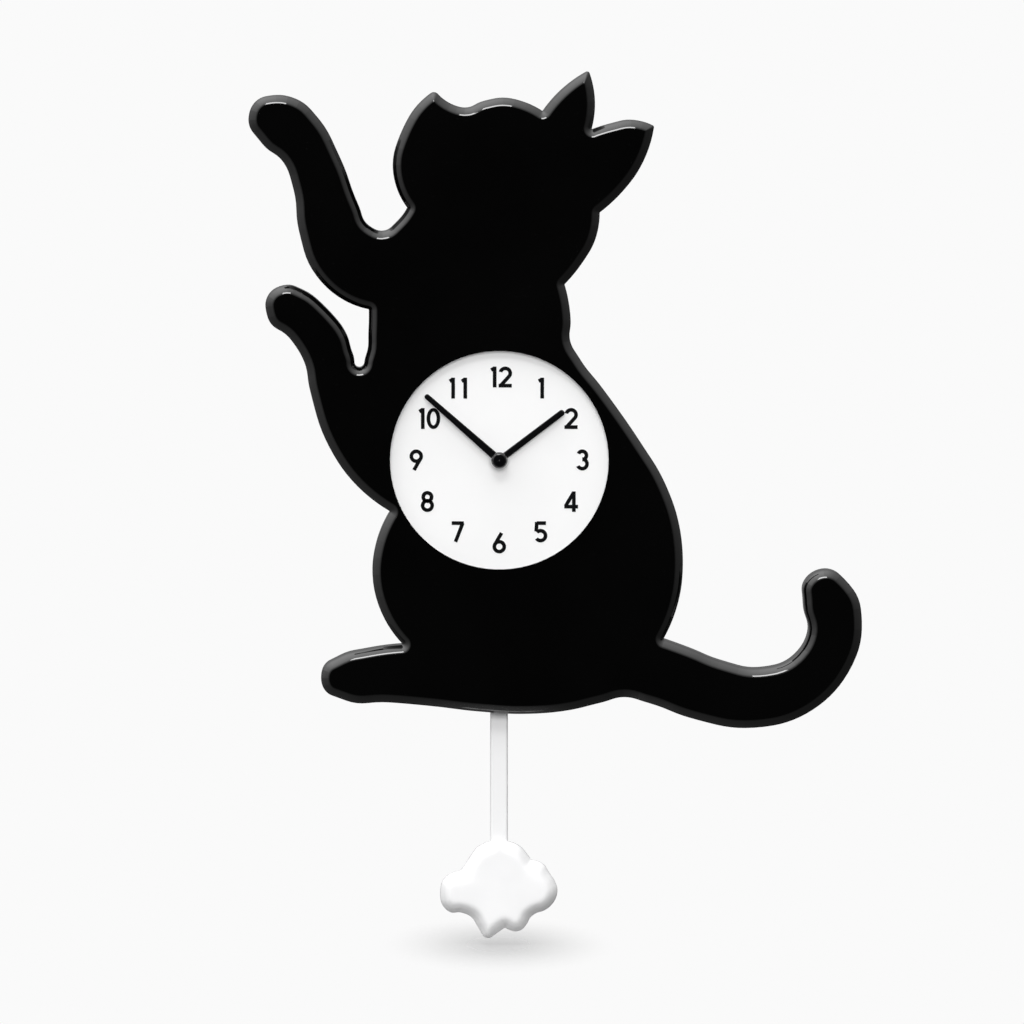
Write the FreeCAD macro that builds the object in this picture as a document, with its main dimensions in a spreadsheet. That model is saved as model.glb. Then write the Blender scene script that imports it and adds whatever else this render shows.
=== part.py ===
"""Cat-shaped wall clock with a quartz movement and a swinging pendulum.

Millimetres. The origin is the seat of the wall hanger in the back plane; +Z is up, the front faces -Y and the
wall is at Y = 0. A level is a distance in front of the wall. Pieces are placed from the hand shaft.
"""
import FreeCAD, Part
import math
import os
import re

import Sketcher
from FreeCAD import Rotation, Vector

SIZES = {
    # cat case
    "body_width": 282.2,
    "body_height": 301.7,
    "body_depth": 24.0,
    "bevel": 3.9,
    "shell_wall": 2.6,
    "front_wall": 2.8,
    "notch_radius": 0.4,
    "ear_tip_radius": 1.0,
    "nose_radius": 2.4,
    "inner_tip_radius": 0.25,
    "boss_radius": 3.2,
    "overrun": 2.0,
    "fit_gap": 0.05,
    "loose_gap": 0.2,
    # back cover and hanger
    "cover_thickness": 2.0,
    "cover_gap": 0.3,
    "window_gap": 1.0,
    "hanger_x": 3.0,
    "hanger_z": 69.0,
    "hanger_width": 30.0,
    "hanger_height": 26.0,
    "hanger_thickness": 1.2,
    "keyhole_radius": 4.0,
    "keyhole_slot_width": 4.0,
    "keyhole_drop": 8.0,
    "hanger_screw_spacing": 22.0,
    # screws
    "screw_radius": 1.2,
    "screw_head_radius": 2.4,
    "screw_head_height": 1.2,
    "screw_sink": 0.1,
    "cover_screw_length": 8.0,
    "small_screw_radius": 0.9,
    "small_head_radius": 1.8,
    "small_head_height": 1.0,
    # dial and its numbers
    "dial_opening_radius": 50.3,
    "dial_recess": 3.5,
    "dial_thickness": 2.0,
    "dial_lap": 1.3,
    "collar_width": 1.5,
    "ear_reach": 2.0,
    "ear_radius": 3.4,
    "ear_screw_depth": 1.9,
    "numeral_ring_radius": 38.2,
    "numeral_height": 9.6,
    "numeral_stroke": 1.7,
    "numeral_thickness": 0.15,
    # hands
    "hour_hand_length": 37.3,
    "hour_hand_root": 3.1,
    "hour_hand_end": 2.85,
    "hour_hand_lift": 1.7,
    "minute_hand_length": 45.4,
    "minute_hand_root": 3.6,
    "minute_hand_end": 2.45,
    "hand_thickness": 1.2,
    "hand_spacing": 0.7,
    "hub_radius": 3.4,
    "cap_radius": 3.75,
    "cap_height": 2.6,
    "hour_hand_angle": 52.9,
    "minute_hand_angle": 311.3,
    # movement housing
    "movement_width": 56.0,
    "movement_depth": 16.0,
    "case_wall": 1.2,
    "gear_room_floor": 11.55,
    "bay_gap": 0.15,
    "battery_drop": 19.9,
    "pendulum_box_width": 32.0,
    "pendulum_box_drop": 60.0,
    "pendulum_room_top": 29.2,
    "lug_reach": 7.0,
    "lug_width": 8.0,
    "lug_height": 18.0,
    "lug_screw_bite": 1.5,
    "bridge_left": 22.0,
    "bridge_right": 21.5,
    "bridge_bottom": 10.8,
    "bridge_top": 16.5,
    "outlet_gap": 1.4,
    "bush_radius": 3.5,
    "bush_rise": 0.8,
    "pillar_radius": 1.3,
    "stake_radius": 0.6,
    "pedestal_radius": 1.2,
    # wheels
    "wheel_thickness": 0.8,
    "pivot_radius": 0.35,
    "pivot_depth": 0.7,
    "arbor_radius": 0.6,
    "end_play": 0.1,
    "train_distance": 10.2,
    "third_angle": 150.0,
    "intermediate_distance": 10.44,
    "intermediate_angle": -20.0,
    "rotor_distance": 7.0,
    "rotor_angle": 0.0,
    "work_distance": 9.6,
    "work_angle": 40.0,
    "minute_arbor_radius": 1.25,
    "hour_tube_radius": 2.1,
    "rotor_pinion_level": 4.2,
    "rotor_pinion_length": 1.4,
    "intermediate_level": 4.5,
    "intermediate_pinion_length": 1.9,
    "seconds_level": 6.1,
    "seconds_pinion_length": 2.5,
    "third_level": 7.9,
    "third_pinion_length": 2.25,
    "centre_level": 10.1,
    "bridge_level": 11.1,
    "bridge_thickness": 0.8,
    "cannon_level": 12.1,
    "cannon_length": 2.5,
    "work_level": 12.8,
    "work_pinion_length": 2.6,
    "hour_level": 14.9,
    "setting_pinion_level": 12.4,
    "setting_pinion_length": 1.6,
    "setting_radius": 1.0,
    "knob_radius": 5.5,
    "knob_groove_radius": 0.6,
    "knob_level": 0.7,
    "knob_thickness": 1.6,
    # step motor and circuit
    "magnet_radius": 3.0,
    "magnet_level": 5.8,
    "magnet_thickness": 1.9,
    "stator_left": 10.0,
    "stator_level": 6.2,
    "lamination": 1.0,
    "stator_bore": 3.3,
    "stator_ring": 4.6,
    "coil_x": 22.5,
    "core_width": 3.0,
    "core_bottom": 1.5,
    "core_top": 26.0,
    "bobbin_bore": 1.65,
    "bobbin_radius": 2.0,
    "winding_radius": 3.0,
    "flange_radius": 3.2,
    "flange_thickness": 0.8,
    "bobbin_bottom": 5.5,
    "bobbin_length": 16.5,
    "board_left": 26.0,
    "board_right": 6.0,
    "board_bottom": 16.0,
    "board_top": 26.5,
    "board_post_inset": 4.0,
    "board_level": 5.0,
    "board_thickness": 1.0,
    "chip_inset": 7.0,
    "chip_side": 5.0,
    "chip_height": 1.2,
    "crystal_inset": 19.0,
    "crystal_radius": 1.0,
    "crystal_length": 6.0,
    # battery
    "battery_radius": 7.25,
    "battery_length": 49.0,
    "nub_radius": 2.75,
    "nub_length": 1.5,
    "contact_thickness": 0.4,
    "contact_width": 9.0,
    "leaf_angle": 12.0,
    # pendulum
    "pivot_drop": 33.0,
    "pivot_pin_radius": 0.8,
    "lever_hub_radius": 2.3,
    "lever_level": 12.7,
    "lever_thickness": 1.6,
    "lever_width": 6.0,
    "magnet_drop": 17.0,
    "swing_magnet_radius": 4.0,
    "swing_magnet_thickness": 2.4,
    "swing_coil_radius": 5.0,
    "swing_coil_level": 5.2,
    "swing_coil_length": 4.0,
    "hook_drop": 29.0,
    "hook_radius": 1.2,
    "hook_head_radius": 1.9,
    "hook_head_length": 0.6,
    "rod_width": 8.1,
    "rod_thickness": 3.0,
    "rod_level": 9.4,
    "rod_eye_radius": 2.0,
    "rod_edge": 1.3,
    "rod_seat": 12.0,
    "bob_drop": 197.7,
    "bob_width": 54.5,
    "bob_height": 45.3,
    "bob_depth": 14.0,
    "bob_puff": 3.0,
    "bob_notch_radius": 0.5,
    "bob_tip_radius": 3.0,
    "slot_width": 36.0,
    "slot_depth": 7.0,
    "slot_height": 12.0,
}

# places that follow from the sizes
PLACES = {
    "shaft_x": "-hanger_x",
    "shaft_z": "-hanger_z",
    "dial_front": "body_depth - dial_recess",
    "dial_back": "dial_front - dial_thickness",
    "front_inside": "body_depth - front_wall",
    "dial_radius": "dial_opening_radius + dial_lap",
    "ear_place": "dial_radius + ear_reach",
    "movement_back": "dial_back - movement_depth",
    "case_floor": "movement_back + case_wall",
    "case_lid": "dial_back - case_wall",
    "hour_hand_level": "dial_front + hour_hand_lift",
    "minute_hand_level": "hour_hand_level + hand_thickness + hand_spacing",
    "cap_level": "minute_hand_level + hand_thickness",
    "third_x": "train_distance * cos(third_angle)",
    "third_z": "train_distance * sin(third_angle)",
    "intermediate_x": "intermediate_distance * cos(intermediate_angle)",
    "intermediate_z": "intermediate_distance * sin(intermediate_angle)",
    "rotor_x": "intermediate_x + rotor_distance * cos(rotor_angle)",
    "rotor_z": "intermediate_z + rotor_distance * sin(rotor_angle)",
    "work_x": "work_distance * cos(work_angle)",
    "work_z": "work_distance * sin(work_angle)",
    "setting_x": "2 * work_x",
    "setting_z": "2 * work_z",
    "battery_level": "movement_back + bay_gap + battery_radius",
    "core_level": "stator_level + lamination",
    "coil_level": "core_level + lamination / 2",
    "rod_middle": "rod_level + rod_thickness / 2",
    "rod_top": "-pivot_drop - hook_drop - (rod_eye_radius - hook_radius)",
    "board_middle": "(board_bottom + board_top) / 2",
}

# tooth counts of the train: driver and follower of each mesh
ROTOR_TEETH = 10
INTERMEDIATE_TEETH = 60
INTERMEDIATE_PINION_TEETH = 12
SECONDS_TEETH = 60
SECONDS_PINION_TEETH = 8
THIRD_TEETH = 60
THIRD_PINION_TEETH = 8
CENTRE_TEETH = 64
CANNON_TEETH = 12
WORK_TEETH = 36
WORK_PINION_TEETH = 12
HOUR_TEETH = 48

# a tooth in shares of its module (heights) and of its pitch (half widths)
ADDENDUM_SHARE = 0.8
DEDENDUM_SHARE = 1.2
ROOT_HALF_SHARE = 0.22
PITCH_HALF_SHARE = 0.17
TIP_HALF_SHARE = 0.07

# the cat's outline, counter-clockwise from the root of the tail, in shares of the body's width and height
# from the hand shaft; each stretch is smooth and starts at a corner
CAT_OUTLINE_SHARES = {
    "back": [(0.2676, -0.2742), (0.2950, -0.2056), (0.2997, -0.1522), (0.2917, -0.0912), (0.2678, -0.0303),
             (0.2278, 0.0307), (0.1704, 0.1070), (0.1326, 0.1527), (0.1157, 0.1817), (0.1165, 0.2137)],
    "nape": [(0.1065, 0.2678), (0.1331, 0.2975), (0.1564, 0.3356)],
    "right_ear_side": [(0.1638, 0.3773), (0.1967, 0.4049), (0.2293, 0.4450)],
    "right_ear_top": [(0.2526, 0.5091), (0.2146, 0.5186), (0.1804, 0.5125)],
    "left_ear_side": [(0.1502, 0.5034), (0.1561, 0.5460)],
    "left_ear_top": [(0.1458, 0.5936), (0.1021, 0.5649)],
    "crown": [(0.0712, 0.5317), (0.0451, 0.5445), (0.0060, 0.5523), (-0.0234, 0.5476), (-0.0560, 0.5372),
              (-0.0788, 0.5433)],
    "face": [(-0.1044, 0.5633), (-0.1326, 0.5415), (-0.1577, 0.5034), (-0.1734, 0.4500), (-0.1660, 0.4119)],
    "upper_arm": [(-0.1497, 0.3844), (-0.1636, 0.3661), (-0.1905, 0.3489), (-0.2133, 0.3578), (-0.2304, 0.3905),
                  (-0.2578, 0.4576), (-0.2929, 0.5186), (-0.3250, 0.5476), (-0.3641, 0.5564), (-0.3967, 0.5468),
                  (-0.4086, 0.5186), (-0.3861, 0.4820), (-0.3511, 0.4530), (-0.3351, 0.4119), (-0.3268, 0.3509),
                  (-0.3046, 0.2899), (-0.2516, 0.2429)],
    "lower_arm": [(-0.2125, 0.2298), (-0.2130, 0.1984), (-0.2167, 0.1603), (-0.2281, 0.1408), (-0.2389, 0.1618),
                  (-0.2487, 0.1908), (-0.2795, 0.2289), (-0.3185, 0.2582), (-0.3462, 0.2663), (-0.3772, 0.2503),
                  (-0.3772, 0.2167), (-0.3395, 0.1832), (-0.3180, 0.1496), (-0.3087, 0.1070), (-0.2831, 0.0307),
                  (-0.2412, -0.0303)],
    "haunch": [(-0.1778, -0.0787), (-0.1988, -0.1217), (-0.2068, -0.1751), (-0.1866, -0.2437)],
    "foot_and_tail": [(-0.1564, -0.2823), (-0.2105, -0.2886), (-0.2586, -0.2998), (-0.2880, -0.3199),
                      (-0.2880, -0.3459), (-0.2500, -0.3675), (-0.1783, -0.3704), (-0.1131, -0.3757),
                      (-0.0315, -0.3844), (0.0337, -0.3880), (0.1153, -0.3821), (0.1645, -0.3712),
                      (0.2032, -0.3624), (0.2456, -0.3719), (0.3108, -0.3940), (0.4005, -0.4098),
                      (0.4912, -0.3928), (0.5622, -0.3364), (0.5920, -0.2591), (0.5780, -0.1980),
                      (0.5289, -0.1685), (0.4996, -0.1866), (0.4975, -0.2208), (0.5047, -0.2660),
                      (0.4766, -0.3049), (0.4249, -0.3193), (0.3591, -0.3070), (0.3101, -0.2885)],
}
CAT_BLUNT_CORNERS = {"face": "nose_radius"}

# the bob's outline from its own middle, in shares of its width and height
BOB_OUTLINE_SHARES = {
    "dome": [(0.270, 0.284), (0.236, 0.345), (0.194, 0.406), (0.076, 0.477), (-0.068, 0.477), (-0.194, 0.401),
             (-0.236, 0.335), (-0.279, 0.254)],
    "left_lobe": [(-0.325, 0.173), (-0.414, 0.142), (-0.473, 0.081), (-0.498, -0.041), (-0.473, -0.188),
                  (-0.414, -0.249), (-0.321, -0.254), (-0.236, -0.299), (-0.186, -0.386)],
    "point": [(-0.112, -0.552), (0.016, -0.434)],
    "right_lobe": [(0.051, -0.406), (0.093, -0.434), (0.144, -0.447), (0.194, -0.426), (0.232, -0.376),
                   (0.270, -0.299), (0.312, -0.262), (0.380, -0.234), (0.439, -0.183), (0.494, -0.020),
                   (0.465, 0.081), (0.422, 0.157), (0.380, 0.234), (0.338, 0.266)],
}
BOB_RINGS = 4
BOB_RIM_SHARE = 0.2
BOB_TOP_SHARE = 0.487

# places of the cover's screws, in shares of the body's width and height from the hand shaft
COVER_SCREW_SHARES = [
    (-0.366, 0.520), (-0.051, 0.473), (-0.343, 0.232), (-0.244, 0.302), (0.091, 0.343), (-0.165, -0.175),
    (-0.247, -0.331), (0.254, -0.160), (0.401, -0.361), (0.537, -0.210), (0.164, -0.320), (-0.113, -0.335),
]
BOTTOM_EDGE_SHARE = -0.386

DIAL_EAR_ANGLES = (0, 120, 240)
# pillars of the gear bridge, in shares of the movement's width from the hand shaft
PILLAR_SHARES = [(-0.357, 0.223), (-0.125, -0.170), (0.080, 0.241)]
# the cap's dome in shares of its radius and height
CAP_DOME_SHARES = [(1, 0), (1, 0.5), (0.8, 0.85), (0.4, 0.97), (0, 1), (0, 0.5)]
KNOB_GRIPS = 12

# centre lines of the digits in shares of their height, from the middle of the base line; an arc has a centre,
# two half axes and the angles where it starts and ends
DIGIT_SHARES = {
    "0": [("arc", 0, 0.5, 0.24, 0.417, 0, 360)],
    "1": [("line", 0.07, 0, 0.07, 1), ("line", -0.10, 0.83, 0.07, 0.93)],
    "2": [("arc", 0, 0.68, 0.235, 0.235, -38, 165), ("line", 0.185, 0.535, -0.235, 0.075),
          ("line", -0.32, 0.083, 0.31, 0.083)],
    "3": [("arc", 0, 0.717, 0.2, 0.2, -90, 155), ("arc", 0, 0.310, 0.228, 0.228, -155, 90)],
    "4": [("line", 0.13, 0, 0.13, 0.98), ("line", 0.12, 0.93, -0.27, 0.27), ("line", -0.33, 0.25, 0.33, 0.25)],
    "5": [("line", -0.19, 0.917, 0.25, 0.917), ("line", -0.19, 0.97, -0.22, 0.52),
          ("arc", -0.01, 0.315, 0.237, 0.237, -145, 138)],
    "6": [("arc", 0, 0.32, 0.237, 0.237, 0, 360), ("line", -0.20, 0.44, 0.11, 0.98)],
    "7": [("line", -0.29, 0.917, 0.29, 0.917), ("line", 0.24, 0.92, -0.11, 0.02)],
    "8": [("arc", 0, 0.717, 0.2, 0.2, 0, 360), ("arc", 0, 0.310, 0.228, 0.228, 0, 360)],
    "9": [("arc", 0, 0.68, 0.237, 0.237, 0, 360), ("line", 0.20, 0.56, -0.11, 0.02)],
}
DIGIT_PITCH_SHARE = 0.58

FLATTEST_BEND = 1e-6
ALONG_DEPTH = Rotation(Vector(1, 0, 0), 90)
ALONG_WIDTH = Rotation(Vector(0, 1, 0), 90)

doc = FreeCAD.newDocument("cat_pendulum_clock")
pieces = []


# The two sheets and the expressions that read them


def fill_sheet(name, cells):
    sheet = doc.addObject("Spreadsheet::Sheet", name)
    for row, (alias, content) in enumerate(cells.items(), start=1):
        sheet.set(f"A{row}", alias)
        sheet.set(f"B{row}", content)
        sheet.setAlias(f"B{row}", alias)
    return sheet


def bound(text):
    """An expression in which each size and place is read from its sheet."""
    def prefixed(match):
        word = match.group()
        if word in SIZES:
            return "sizes." + word
        return "places." + word if word in PLACES else word
    return re.sub(r"[A-Za-z_]\w*", prefixed, str(text))


sizes = fill_sheet("sizes", {alias: str(number) for alias, number in SIZES.items()})
places = fill_sheet("places", {alias: "=" + bound(text) for alias, text in PLACES.items()})
doc.recompute()


def value(text):
    return float(sizes.evalExpression(bound(text)))


def bind(item, expressions):
    for target, text in expressions.items():
        item.setExpression(target, bound(text))


def finished(item, label, x="0", z="0"):
    """Give a sub-part its name and put it at its place beside the hand shaft."""
    item.Label = label
    bind(item, {
        ".Placement.Base.x": f"shaft_x + ({x})",
        ".Placement.Base.y": "0",
        ".Placement.Base.z": f"shaft_z + ({z})",
    })
    pieces.append(item)
    return item


def shaped(label, shape, x="0", z="0"):
    """A sub-part whose shape comes from a formula."""
    item = doc.addObject("Part::Feature", label)
    item.Shape = shape
    return finished(item, label, x, z)


# Solids from primitives; start is the level of the end nearer the wall


def cylinder(radius, start, length, x="0", z="0"):
    bar = doc.addObject("Part::Cylinder", "bar")
    bar.Placement.Rotation = ALONG_DEPTH
    bind(bar, {
        "Radius": radius,
        "Height": length,
        ".Placement.Base.x": x,
        ".Placement.Base.y": f"-({start})",
        ".Placement.Base.z": z,
    })
    return bar


def standing_cylinder(radius, bottom, length, x, level):
    bar = doc.addObject("Part::Cylinder", "bar")
    bind(bar, {
        "Radius": radius,
        "Height": length,
        ".Placement.Base.x": x,
        ".Placement.Base.y": f"-({level})",
        ".Placement.Base.z": bottom,
    })
    return bar


def block(left, right, bottom, top, start, end):
    box = doc.addObject("Part::Box", "block")
    bind(box, {
        "Length": f"({right}) - ({left})",
        "Width": f"({end}) - ({start})",
        "Height": f"({top}) - ({bottom})",
        ".Placement.Base.x": left,
        ".Placement.Base.y": f"-({end})",
        ".Placement.Base.z": bottom,
    })
    return box


def fused(*items):
    joined = doc.addObject("Part::MultiFuse", "joined")
    joined.Shapes = list(items)
    return joined


def cut(base, *tools):
    cutting = doc.addObject("Part::Cut", "cutting")
    cutting.Base = base
    cutting.Tool = tools[0] if len(tools) == 1 else fused(*tools)
    return cutting


def group(items):
    together = doc.addObject("Part::Compound", "together")
    together.Links = list(items)
    return together


def extruded(face, length):
    """A solid that stands on a face and reaches towards the front."""
    solid = doc.addObject("Part::Extrusion", "extruded")
    solid.Base = face
    solid.DirMode = "Custom"
    solid.Dir = Vector(0, -1, 0)
    solid.Solid = True
    bind(solid, {"LengthFwd": length})
    return solid


# Bodies from sketches


def new_body(label, x="0", z="0"):
    body = doc.addObject("PartDesign::Body", label)
    return finished(body, label, x, z)


def sketch_on(body, role, offset="0"):
    plane = next(item for item in body.Origin.OriginFeatures if item.Role == role)
    sketch = body.newObject("Sketcher::SketchObject", "sketch")
    sketch.AttachmentSupport = (plane, [""])
    sketch.MapMode = "FlatFace"
    bind(sketch, {".AttachmentOffset.Base.z": offset})
    return sketch


def fix_point(sketch, edge, end, x, y):
    for kind, text in (("DistanceX", x), ("DistanceY", y)):
        number = sketch.addConstraint(Sketcher.Constraint(kind, -1, 1, edge, end, value(text)))
        sketch.setExpression(f"Constraints[{number}]", bound(text))


def draw_polygon(sketch, corners):
    spots = [Vector(value(x), value(y), 0) for x, y in corners]
    edges = [sketch.addGeometry(Part.LineSegment(spot, after)) for spot, after in zip(spots, spots[1:] + spots[:1])]
    for edge, after in zip(edges, edges[1:] + edges[:1]):
        sketch.addConstraint(Sketcher.Constraint("Coincident", edge, 2, after, 1))
    for edge, (x, y) in zip(edges, corners):
        fix_point(sketch, edge, 1, x, y)


def turned(label, profile, x="0", z="0"):
    """A round piece on an axis along the depth; its half section is given by radius and level."""
    body = new_body(label, x, z)
    sketch = sketch_on(body, "XY_Plane")
    draw_polygon(sketch, [(radius, f"-({level})") for radius, level in profile])
    feature = body.newObject("PartDesign::Revolution", "turned")
    feature.Profile = sketch
    feature.ReferenceAxis = (sketch, ["V_Axis"])
    feature.Angle = 360
    return body


# Outlines as chains of tangent arcs


def heading(start, end):
    return math.atan2(end.z - start.z, end.x - start.x)


def turn(first, second):
    return (second - first + math.pi) % (2 * math.pi) - math.pi


def direction(angle):
    return Vector(math.cos(angle), 0, math.sin(angle))


def smooth_headings(points):
    """The heading of a smooth curve at each point: a bend is shared out by the lengths of its two chords."""
    chords = [heading(a, b) for a, b in zip(points, points[1:])]
    lengths = [a.distanceToPoint(b) for a, b in zip(points, points[1:])]
    inner = []
    for before in range(len(chords) - 1):
        share = lengths[before] / (lengths[before] + lengths[before + 1])
        inner.append(chords[before] + share * turn(chords[before], chords[before + 1]))
    return [2 * chords[0] - inner[0], *inner, 2 * chords[-1] - inner[-1]]


class Bend:
    """An arc in the front view; its radius is negative where it turns right."""

    def __init__(self, start, angle, end):
        chord = end - start
        left = direction(angle + math.pi / 2)
        across = 2 * chord.dot(left)
        if abs(across) < FLATTEST_BEND:
            across = FLATTEST_BEND
        self.start = start
        self.end = end
        self.radius = chord.dot(chord) / across
        self.centre = start + left * self.radius
        self.end_heading = 2 * heading(start, end) - angle
        self.start_heading = angle

    def inset(self, spot, distance):
        """The point beside a spot on the arc, further into the outline."""
        return self.centre + (spot - self.centre) * ((self.radius - distance) / self.radius)


def bends_between(start, start_angle, end, end_angle):
    """Two arcs that join two points, each point with its own heading."""
    chord = end - start
    both = direction(start_angle) + direction(end_angle)
    spread = 2 * (1 - direction(start_angle).dot(direction(end_angle)))
    along = chord.dot(both)
    if spread < FLATTEST_BEND:
        reach = chord.dot(chord) / (2 * along)
    else:
        reach = (math.sqrt(along ** 2 + spread * chord.dot(chord)) - along) / spread
    middle = (start + direction(start_angle) * reach + end - direction(end_angle) * reach) / 2
    first = Bend(start, start_angle, middle)
    return [first, Bend(middle, first.end_heading, end)]


def stretches_of(outline_shares, width, height):
    """The outline's smooth stretches, each a list of arcs that ends where the next one starts."""
    points = {
        name: [Vector(x * width, 0, z * height) for x, z in shares] for name, shares in outline_shares.items()
    }
    names = list(points)
    stretches = {}
    for name, after in zip(names, names[1:] + names[:1]):
        path = points[name] + points[after][:1]
        angles = smooth_headings(path)
        stretches[name] = [
            bend
            for i in range(len(path) - 1)
            for bend in bends_between(path[i], angles[i], path[i + 1], angles[i + 1])
        ]
    return stretches


def circles_meet(first, first_radius, second, second_radius, near):
    """Where two circles cross, nearest to a given point."""
    between = second - first
    gap = between.Length
    along = (gap ** 2 + first_radius ** 2 - second_radius ** 2) / (2 * gap)
    away = math.sqrt(first_radius ** 2 - along ** 2)
    forward = between / gap
    sideways = Vector(-forward.z, 0, forward.x)
    crossings = [first + forward * along + sideways * (side * away) for side in (1, -1)]
    return min(crossings, key=near.distanceToPoint)


def rounded_corner(before, after, distance, notch_radius, tip_radius, least_radius):
    """Where the inset of a corner leaves one stretch and joins the next, with the middle of its rounding."""
    if turn(before.end_heading, after.start_heading) > 0:
        radius = max(tip_radius - distance, least_radius)
        shift = distance + radius
    else:
        radius = -(notch_radius + distance)
        shift = -notch_radius
    centre = circles_meet(
        before.centre, abs(before.radius - shift), after.centre, abs(after.radius - shift), after.start
    )
    leaves = before.centre + (centre - before.centre) * ((before.radius - distance) / (before.radius - shift))
    joins = after.centre + (centre - after.centre) * ((after.radius - distance) / (after.radius - shift))
    return leaves, joins, centre, radius


def arc_edge(start, end, centre, radius):
    """An edge round a centre; it turns left where the radius is positive."""
    first = heading(centre, start)
    sweep = (heading(centre, end) - first) % (2 * math.pi)
    if radius < 0:
        sweep -= 2 * math.pi
    middle = centre + direction(first + sweep / 2) * abs(radius)
    return Part.Arc(start, middle, end).toShape()


def outline_wire(stretches, distance, notch_radius, tip_radii, least_radius):
    """The closed outline, moved inwards by a distance."""
    names = list(stretches)
    corners = {
        name: rounded_corner(
            stretches[previous][-1], stretches[name][0], distance, notch_radius, tip_radii[name], least_radius
        )
        for previous, name in zip(names[-1:] + names[:-1], names)
    }
    edges = []
    for name, after in zip(names, names[1:] + names[:1]):
        leaves, joins, centre, radius = corners[name]
        edges.append(arc_edge(leaves, joins, centre, radius))
        bends = stretches[name]
        spots = [joins] + [bend.inset(bend.end, distance) for bend in bends[:-1]] + [corners[after][0]]
        for bend, start, end in zip(bends, spots, spots[1:]):
            edges.append(arc_edge(start, end, bend.centre, bend.radius - distance))
    return Part.Wire(edges)


def cat_wire(distance):
    stretches = stretches_of(CAT_OUTLINE_SHARES, value("body_width"), value("body_height"))
    tip_radii = {name: value(CAT_BLUNT_CORNERS.get(name, "ear_tip_radius")) for name in stretches}
    return outline_wire(stretches, distance, value("notch_radius"), tip_radii, value("inner_tip_radius"))


def bob_wire(distance):
    stretches = stretches_of(BOB_OUTLINE_SHARES, value("bob_width"), value("bob_height"))
    tip_radii = {name: value("bob_tip_radius") for name in stretches}
    return outline_wire(stretches, distance, value("bob_notch_radius"), tip_radii, value("inner_tip_radius"))


def outline_feature(shape, level):
    """An outline or a face that lies at a level."""
    item = doc.addObject("Part::Feature", "outline")
    item.Shape = shape
    bind(item, {".Placement.Base.y": f"-({level})"})
    return item


# The case


def outline_at(wire, level):
    moved = wire.copy()
    moved.translate(Vector(0, -level, 0))
    return moved


def back_face(solid):
    return max(solid.Faces, key=lambda face: face.CenterOfMass.y)


def hollow_case():
    """The bevelled silhouette and the cavity behind its front wall, joined by the rim at the back."""
    outer = cat_wire(0)
    inner = cat_wire(value("shell_wall"))
    front = cat_wire(value("bevel"))
    outside = Part.makeLoft([outer, outline_at(outer, value("body_depth - bevel")),
                             outline_at(front, value("body_depth"))], True, True)
    inside = Part.makeLoft([inner, outline_at(inner, value("front_inside"))], True, True)
    back = back_face(outside)
    mouth = back_face(inside)
    faces = [face for face in outside.Faces if not face.isSame(back)]
    faces += [face.reversed() for face in inside.Faces if not face.isSame(mouth)]
    faces.append(Part.Face([back.OuterWire, mouth.OuterWire.reversed()]))
    return outline_feature(Part.makeSolid(Part.makeShell(faces)), "0")


def cover_screw_places():
    return [(f"{x} * body_width", f"{z} * body_height") for x, z in COVER_SCREW_SHARES]


def hanger_screw_places():
    return [(f"hanger_x + {side} * hanger_screw_spacing / 2", "hanger_z") for side in (-1, 1)]


def ear_places():
    return [(f"ear_place * cos({angle})", f"ear_place * sin({angle})") for angle in DIAL_EAR_ANGLES]


def drilled(boss_radius, hole_radius, start, end, depth, x, z):
    """A boss that stands on the front wall's inside, with a blind hole from its free end."""
    return cut(cylinder(boss_radius, start, f"({end}) - ({start})", x, z),
               cylinder(hole_radius, f"({start}) - overrun", f"({depth}) + overrun", x, z))


def cat_shell():
    slot_middle = f"{BOTTOM_EDGE_SHARE} * body_height"
    slot = block("-slot_width / 2", "slot_width / 2", f"{slot_middle} - slot_height / 2",
                 f"{slot_middle} + slot_height / 2", "rod_middle - slot_depth / 2", "rod_middle + slot_depth / 2")
    opening = cylinder("dial_opening_radius", "dial_front", "dial_recess + overrun")
    hole = "small_screw_radius + fit_gap"
    ear_holes = [cylinder(hole, "dial_front", "ear_screw_depth", x, z) for x, z in ear_places()]
    case = cut(hollow_case(), slot, opening, *ear_holes)
    pilot = "screw_radius + fit_gap"
    bosses = [drilled("boss_radius", pilot, "cover_thickness", "front_inside",
                      "cover_screw_length + screw_head_height", x, z) for x, z in cover_screw_places()]
    bosses += [drilled("boss_radius", pilot, "cover_thickness + hanger_thickness", "front_inside",
                       "cover_screw_length", x, z) for x, z in hanger_screw_places()]
    bosses += [drilled("boss_radius", hole, "dial_front", "front_inside", "dial_recess", x, z)
               for x, z in ear_places()]
    collar = drilled("dial_opening_radius + collar_width", "dial_opening_radius", "dial_front", "front_inside",
                     "dial_recess", "0", "0")
    finished(fused(case, collar, *bosses), "cat_shell")


def keyhole(start, length):
    """Round entry and narrow slot; the nail's seat is at the top of the slot."""
    entry_z = "hanger_z - keyhole_drop"
    return [
        cylinder("keyhole_radius", start, length, "hanger_x", entry_z),
        cylinder("keyhole_slot_width / 2", start, length, "hanger_x", "hanger_z"),
        block("hanger_x - keyhole_slot_width / 2", "hanger_x + keyhole_slot_width / 2", entry_z, "hanger_z",
              start, f"{start} + {length}"),
    ]


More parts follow.
